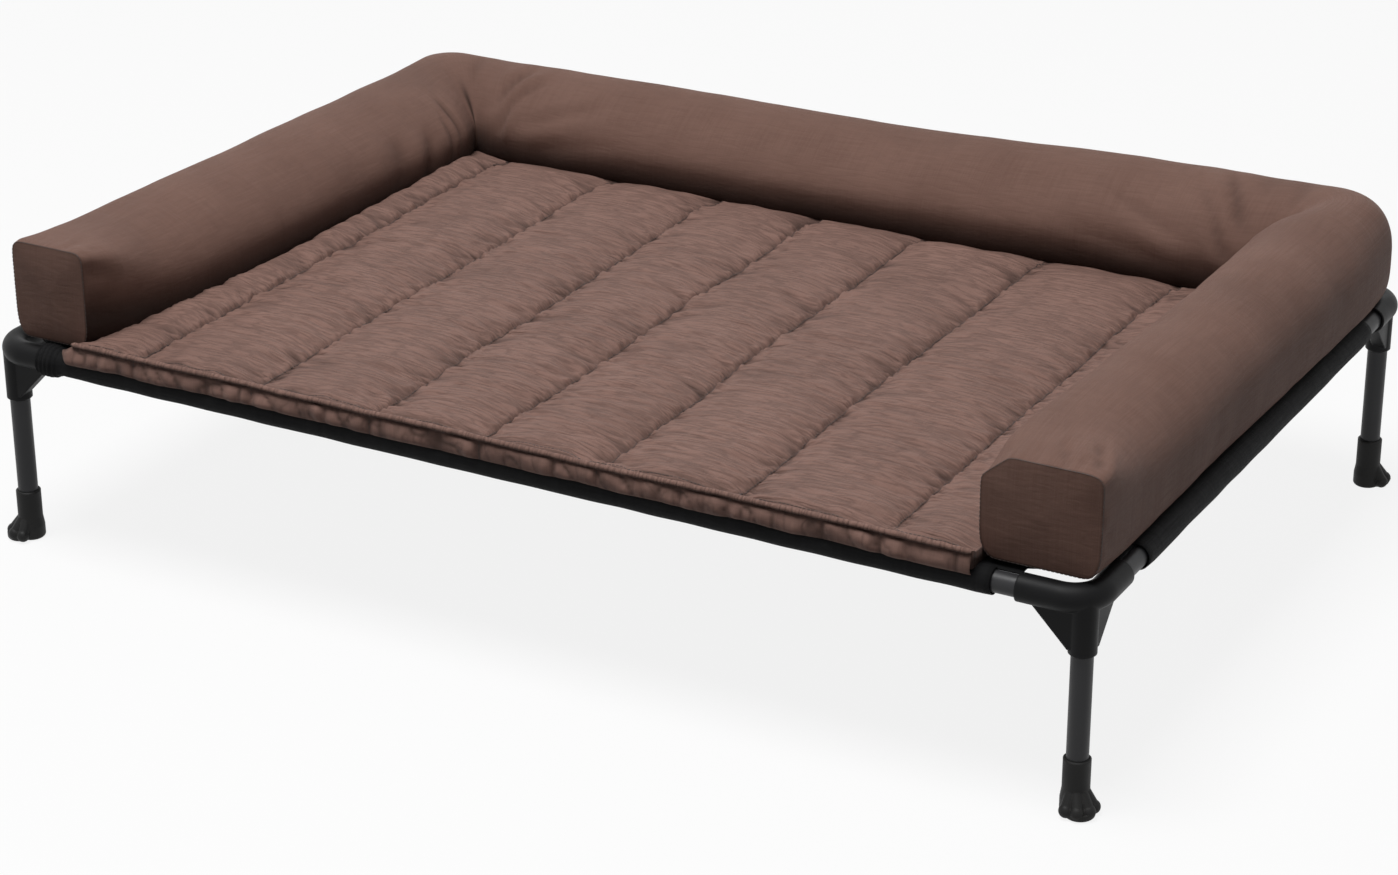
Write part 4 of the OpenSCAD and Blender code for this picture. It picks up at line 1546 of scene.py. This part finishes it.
@dataclass
class Deck:
    """Cloth deck stretched between sleeves round the four rails."""

    plan: Plan
    palette: Palette
    cloth: float = 1.1
    sheet_top: float = 227.4
    sheet_edge: float = 6.8
    hem_step: float = 2.5
    hem_turn: float = math.radians(23.0)
    hem_edge: float = 3.0
    lap: float = 24.0
    lap_z: float = 226.1
    lap_steps: int = 3
    left_cut: float = 71.0
    right_cut: float = 106.0
    sleeve_tab: float = 14.0
    gather_end: float = -554.0
    gather_run: float = 27.0
    gather_radius: float = 15.6
    rib_pitch: float = 5.2
    rib_height: float = 0.8
    rib_sway: Ripple = Ripple(1.6, (16.0, 30.0), 61)
    pitch: float = 8.0
    sides: int = 28

    def build(self) -> list[bpy.types.Object]:
        """Builds and dresses the sheet and the four sleeves.

        Returns:
            The pieces.
        """
        ends = (self.left_cut - self.plan.rail_x, self.plan.rail_x - self.right_cut + self.sleeve_tab)
        left = self.plan.rail_y - self.left_cut
        right = self.plan.rail_y - self.right_cut
        pieces = [self.build_sheet()]
        runs = [
            ("front", (self.gather_end, ends[1]), (0.0, -self.plan.rail_y), 0.0),
            ("back", (-ends[1], -ends[0]), (0.0, self.plan.rail_y), math.pi),
            ("left", (-left, left), (-self.plan.rail_x, 0.0), -math.pi / 2),
            ("right", (-right, right), (self.plan.rail_x, 0.0), math.pi / 2),
        ]
        for name, run, axis, turn in runs:
            pieces.append(self.build_sleeve(name, run, axis, turn))
        return pieces

    def outline(self) -> Array:
        """Outline of the sheet, with round corners between the ends of the sleeves, seen from above.

        Returns:
            Points of the outline.
        """
        x, y = self.plan.rail_x, self.plan.rail_y
        points = []
        for k, (side_x, side_y) in enumerate([(-1, -1), (1, -1), (1, 1), (-1, 1)]):
            cut = self.left_cut if side_x < 0 else self.right_cut
            middle = (side_x * (x - cut), side_y * (y - cut))
            radius = cut - self.sheet_edge - self.hem_step
            first = math.pi + k * math.pi / 2
            angles = np.linspace(first + self.hem_turn, first + math.pi / 2 - self.hem_turn, 17)
            arc = [(middle[0] + radius * math.cos(a), middle[1] + radius * math.sin(a)) for a in angles]
            edge_x, edge_y = side_x * (x - self.hem_edge), side_y * (y - self.hem_edge)
            ends = [(edge_x, arc[0][1]), (arc[-1][0], edge_y)]
            if side_x * side_y < 0:
                ends = [(arc[0][0], edge_y), (edge_x, arc[-1][1])]
            points += [ends[0], *arc, ends[1]]
        return np.array(points)

    def build_sheet(self) -> bpy.types.Object:
        """Builds and dresses the stretched sheet.

        Returns:
            The sheet.
        """
        outline = self.outline()
        count = len(outline)
        top = np.column_stack([outline, np.full(count, self.sheet_top)])
        low = top - (0.0, 0.0, self.cloth)
        known = np.concatenate([top, low])
        faces = [list(range(count)), list(range(2 * count - 1, count - 1, -1))]
        faces += [[(k + 1) % count, k, count + k, count + (k + 1) % count] for k in range(count)]
        maps = np.array([known[p][:2] for face in faces for p in face])
        shape = Shape()
        shape.add(known, faces, maps)
        sheet = shape.piece("deck_cloth")
        sheet.data.shade_flat()
        dress(sheet, self.palette.deck, "frame")
        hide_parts("deck_sheet")
        return sheet

    def profile(self) -> tuple[Array, Array, Array]:
        """Section of a sleeve: its flat lap and then its round.

        Returns:
            Distance towards the inside, height over the rail's axis, and 1 where the cloth is round.
        """
        radius = self.plan.sleeve_radius
        bottom = math.asin((self.lap_z - self.plan.rail_z) / radius)
        angle = np.linspace(bottom, 2 * math.pi + bottom - 0.12, self.sides)
        start = radius * math.cos(bottom)
        lap = np.linspace(start + self.lap, start, self.lap_steps, endpoint=False)
        out = np.concatenate([lap, radius * np.cos(angle)])
        up = np.concatenate([np.full(self.lap_steps, self.lap_z - self.plan.rail_z), radius * np.sin(angle)])
        return out, up, np.concatenate([np.zeros(self.lap_steps), np.ones(self.sides)])

    def build_sleeve(self, name: str, run: Pair, axis: Pair, turn: float) -> bpy.types.Object:
        """Builds and dresses the sleeve of one rail, with its sewn lap towards the inside.

        Args:
            name: Side of the cot.
            run: Ends of the sleeve along the rail.
            axis: Place of the rail, seen from above.
            turn: Angle that turns the front sleeve into this one.

        Returns:
            The sleeve.
        """
        length = run[1] - run[0]
        along = np.linspace(run[0], run[1], round(length / self.pitch) + 1)
        is_front = name == "front"
        if is_front:
            ruck = np.arange(run[0], run[0] + self.gather_run + 6.0, 1.1)
            along = np.concatenate([ruck, along[along > ruck[-1] + 2.0]])
        out, up, is_tube = self.profile()
        place, column = np.meshgrid(along, np.arange(len(out)), indexing="ij")
        girth = np.concatenate([[0.0], np.cumsum(np.hypot(np.diff(out), np.diff(up)))])
        on_tube = is_tube[column]
        slack = 0.5 + 0.5 * noise_at(place, girth[column], (34.0, 22.0), 40 + sum(map(ord, name)))
        from_end = np.minimum(place - run[0], run[1] - place)
        below = smooth_step(4.0, -8.0, up)[column]
        swell = 1 + 0.9 * slack * on_tube * below * smooth_step(0.0, 14.0, from_end) / self.plan.sleeve_radius
        if is_front:
            swell = self.ruck_up(place, girth[column], on_tube, swell)
        inwards = np.where(on_tube > 0, out[column] * swell, out[column])
        if is_front:
            is_bunched = (on_tube == 0) & (place < -self.plan.arm_end + 3.0)
            inwards = np.where(is_bunched, out[self.lap_steps], inwards)
        rise = np.where(on_tube > 0, up[column] * swell, up[column])
        cos, sin = round(math.cos(turn)), round(math.sin(turn))
        x = axis[0] + place * cos - inwards * sin
        y = axis[1] + place * sin + inwards * cos
        grid = Grid(len(along), len(out))
        shape = Shape()
        shape.add(np.stack([x, y, rise + self.plan.rail_z], axis=2), grid.faces(), grid.maps(along, girth))
        sleeve = shape.piece(f"{name}_sleeve_cloth")
        thicken(sleeve, self.cloth)
        dress(sleeve, self.palette.deck, "frame")
        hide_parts(f"{name}_sleeve")
        return sleeve

    def ruck_up(self, place: Array, girth: Array, is_tube: Array, swell: Array) -> Array:
        """Widens the front sleeve where its left end is pushed up over the moulded arm.

        Args:
            place: Place along the rail.
            girth: Length round the sleeve.
            is_tube: 1 where the cloth runs round the rail.
            swell: Widening so far, as a share of the sleeve's radius.

        Returns:
            The widening with the ruck.
        """
        stop = self.gather_end + self.gather_run
        on_arm = smooth_step(stop, -self.plan.arm_end + 1.0, place)
        wave = place + self.rib_sway.at(girth, place)
        ribs = self.rib_height * np.sin(2 * math.pi * wave / self.rib_pitch)
        ribs = ribs * smooth_step(stop + 4.0, stop - 6.0, place)
        base = self.plan.sleeve_radius
        wide = (base + (self.gather_radius - base) * on_arm + ribs) / base
        rucked = np.where(place < stop + 4.0, np.maximum(wide, 1.0 + 0.24 * on_arm), swell)
        return np.where(is_tube > 0, rucked, swell)


@dataclass
class TubeFrame:
    """Moulded corners, coated rails and legs, and rubber feet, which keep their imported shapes."""

    plan: Plan
    palette: Palette

    def build(self) -> None:
        """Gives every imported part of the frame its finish."""
        halves = [f"{side}_rail_{half}" for side in ("front", "back") for half in ("left", "right")]
        finishes = {rail: self.palette.coat for rail in (*halves, "left_rail", "right_rail")}
        for corner in self.plan.corners:
            finishes[f"{corner}_corner"] = self.palette.moulding
            finishes[f"{corner}_leg"] = self.palette.coat
            finishes[f"{corner}_foot"] = self.palette.rubber
        for name, material in finishes.items():
            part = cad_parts[name]
            part.data.materials.clear()
            part.data.materials.append(material)
            log.info("packed part %s: %s", name, material.name)


@dataclass
class Stitching:
    """Rows of sewn stitches along seams, made by a geometry node tree."""

    palette: Palette
    pitch: float = 4.2
    length: float = 2.9
    radius: float = 0.42
    tree: bpy.types.NodeTree = field(init=False)

    def __post_init__(self) -> None:
        """Builds the node tree."""
        self.tree = self.build_tree()

    def build_tree(self) -> bpy.types.NodeTree:
        """Builds the tree that sets a stitch at even steps along each line.

        Returns:
            The tree.
        """
        tree = bpy.data.node_groups.new("stitch_row", "GeometryNodeTree")
        tree.interface.new_socket("Lines", in_out="INPUT", socket_type="NodeSocketGeometry")
        for label in ("Pitch", "Length", "Radius"):
            tree.interface.new_socket(label, in_out="INPUT", socket_type="NodeSocketFloat")
        tree.interface.new_socket("Thread", in_out="INPUT", socket_type="NodeSocketMaterial")
        tree.interface.new_socket("Stitches", in_out="OUTPUT", socket_type="NodeSocketGeometry")
        nodes = Nodes(tree)
        given = nodes.add("NodeGroupInput").outputs
        curve = nodes.add("GeometryNodeMeshToCurve", {"Mesh": given["Lines"]}).outputs[0]
        spacing = {"Curve": curve, "Length": given["Pitch"]}
        even = nodes.add("GeometryNodeResampleCurve", spacing, mode="LENGTH").outputs[0]
        tangent = nodes.add("GeometryNodeInputTangent").outputs[0]
        turn = nodes.add("FunctionNodeAlignRotationToVector", {"Vector": tangent}, axis="Z").outputs[0]
        form = {"Vertices": 6, "Radius": given["Radius"], "Depth": given["Length"]}
        stitch = nodes.add("GeometryNodeMeshCylinder", form).outputs["Mesh"]
        places = {"Points": even, "Instance": stitch, "Rotation": turn}
        placed = nodes.add("GeometryNodeInstanceOnPoints", places).outputs[0]
        real = nodes.add("GeometryNodeRealizeInstances", {0: placed}).outputs[0]
        done = nodes.add("GeometryNodeSetMaterial", {"Geometry": real, "Material": given["Thread"]})
        nodes.add("NodeGroupOutput", {"Stitches": done.outputs[0]})
        return tree

    def sew(self, name: str, lines: list[Array]) -> None:
        """Sews stitches along lines of the cover.

        Args:
            name: Name of the piece.
            lines: Points of each line.
        """
        thread = self.palette.thread
        mesh = bpy.data.meshes.new(name)
        points = np.concatenate(lines)
        edges, first = [], 0
        for line in lines:
            edges += [(first + k, first + k + 1) for k in range(len(line) - 1)]
            first += len(line)
        mesh.from_pydata((points * MM).tolist(), edges, [])
        guide = place_object(f"{name}_guide", mesh)
        rows = guide.modifiers.new("stitches", "NODES")
        rows.node_group = self.tree
        sizes = {"Pitch": self.pitch, "Length": self.length, "Radius": self.radius}
        values = {**{label: size * MM for label, size in sizes.items()}, "Thread": thread}
        for item in self.tree.interface.items_tree:
            if item.in_out == "INPUT" and item.name in values:
                rows[item.identifier] = values[item.name]
        made = settled_mesh(guide)
        guide.modifiers.clear()
        bpy.data.objects.remove(guide)
        bpy.data.meshes.remove(mesh)
        made.name = name
        dress(place_object(name, made), thread, "cover")


@dataclass(frozen=True)
class Studio:
    """Camera, soft light, pale floor and pale background."""

    place: tuple[float, float, float] = (1.6183, -2.9449, 1.5825)
    yaw: float = 28.98
    pitch: float = 24.027
    roll: float = -0.129
    lens: float = 88.61
    sensor: float = 36.0
    ambient: float = 0.06
    key_power: float = 330.0
    floor_glow: float = 0.87
    floor_half: float = 9.0
    floor_level: float = -0.0004

    def build(self) -> None:
        """Sets up everything round the cot."""
        self.build_camera()
        self.build_world()
        self.build_floor()
        self.build_lamp("overhead_softbox", (-0.4, -1.35, 6.0), (0.0, 0.0, 0.2), (3.2, 2.6), self.key_power)
        bpy.context.scene.view_settings.view_transform = "Standard"

    def build_camera(self) -> None:
        """Stands the camera where the photograph was taken from."""
        yaw, pitch = math.radians(self.yaw), math.radians(self.pitch)
        level = math.cos(pitch)
        forward = Vector((-math.sin(yaw) * level, math.cos(yaw) * level, -math.sin(pitch)))
        right = Vector((math.cos(yaw), math.sin(yaw), 0.0))
        axes = Matrix((right, right.cross(forward), -forward)).transposed().to_4x4()
        data = bpy.data.cameras.new("camera")
        data.sensor_fit = "HORIZONTAL"
        data.sensor_width = self.sensor
        data.lens = self.lens
        camera = place_object("camera", data)
        turned = axes @ Matrix.Rotation(math.radians(self.roll), 4, "Z")
        camera.matrix_world = Matrix.Translation(self.place) @ turned
        bpy.context.scene.camera = camera

    def seen_directly(self, nodes: Nodes) -> bpy.types.NodeSocket:
        """Tells which rays show a surface to the camera, at once or by way of a reflection or glass.

        Args:
            nodes: The nodes of the material or the world.

        Returns:
            The socket, 1 on those rays and 0 on others.
        """
        path = nodes.add("ShaderNodeLightPath").outputs
        both = nodes.math("MAXIMUM", path["Is Camera Ray"], path["Is Glossy Ray"])
        return nodes.math("MAXIMUM", both, path["Is Transmission Ray"])

    def build_world(self) -> None:
        """Makes the background white and the soft light from all round."""
        world = bpy.data.worlds.new("studio")
        world.use_nodes = True
        bpy.context.scene.world = world
        nodes = Nodes(world.node_tree)
        world.node_tree.nodes.clear()
        light, white = [
            nodes.add("ShaderNodeBackground", {"Color": WHITE, "Strength": strength}).outputs[0]
            for strength in (self.ambient, 1.0)
        ]
        mixed = nodes.add("ShaderNodeMixShader", {0: self.seen_directly(nodes), 1: light, 2: white})
        nodes.add("ShaderNodeOutputWorld", {"Surface": mixed.outputs[0]})

    def build_floor(self) -> None:
        """Lays a pale floor that keeps a soft shadow."""
        half, level = self.floor_half, self.floor_level
        corners = [(x * half, y * half, level) for x, y in ((-1, -1), (1, -1), (1, 1), (-1, 1))]
        mesh = bpy.data.meshes.new("floor")
        mesh.from_pydata(corners, [], [(0, 1, 2, 3)])
        floor = place_object("floor", mesh)
        material, nodes, shader = start_material("pale_floor")
        seen = self.seen_directly(nodes)
        tone = nodes.tint(seen, (0.2, 0.2, 0.2, 1.0), (0.9, 0.9, 0.9, 1.0))
        nodes.feed(shader, {"Base Color": tone, "Roughness": 0.9})
        glow = nodes.add("ShaderNodeEmission", {"Color": WHITE, "Strength": 1.0}).outputs[0]
        share = nodes.math("MULTIPLY", seen, self.floor_glow)
        mixed = nodes.add("ShaderNodeMixShader", {0: share, 1: shader.outputs[0], 2: glow}).outputs[0]
        nodes.feed(nodes.tree.nodes["Material Output"], {"Surface": mixed})
        floor.data.materials.append(material)

    def build_lamp(self, name: str, place: tuple, aim: tuple, size: Pair, power: float) -> None:
        """Hangs a soft lamp.

        Args:
            name: Name of the lamp.
            place: Where it hangs, in metres.
            aim: What it points at, in metres.
            size: Width and height of its face, in metres.
            power: Its power in watts.
        """
        data = bpy.data.lights.new(name, "AREA")
        data.shape = "RECTANGLE"
        data.size, data.size_y = size
        data.energy = power
        lamp = place_object(name, data)
        lamp.location = place
        lamp.rotation_euler = (Vector(aim) - Vector(place)).to_track_quat("-Z", "Y").to_euler()


def main() -> None:
    """Builds and dresses the cot."""
    logging.basicConfig(level=logging.INFO, format="%(relativeCreated)d %(message)s")
    plan = Plan()
    palette = Palette()
    Studio().build()
    TubeFrame(plan, palette).build()
    Deck(plan, palette).build()
    pad = QuiltedPad(plan, palette)
    pad.build()
    band = FrontBand(plan, palette)
    band.build(pad.seams)
    bolster = Bolster(plan, palette)
    roll = bolster.build()
    stitching = Stitching(palette)
    stitching.sew("channel_stitches", pad.seam_lines)
    stitching.sew("piping_stitches", [pad.front_row])
    stitching.sew("band_stitches", band.tucks)
    ends = [lay_on(roll, line, bolster.thread_lift) for line in bolster.seam_lines]
    stitching.sew("panel_stitches", ends)


if __name__ == "__main__":
    main()
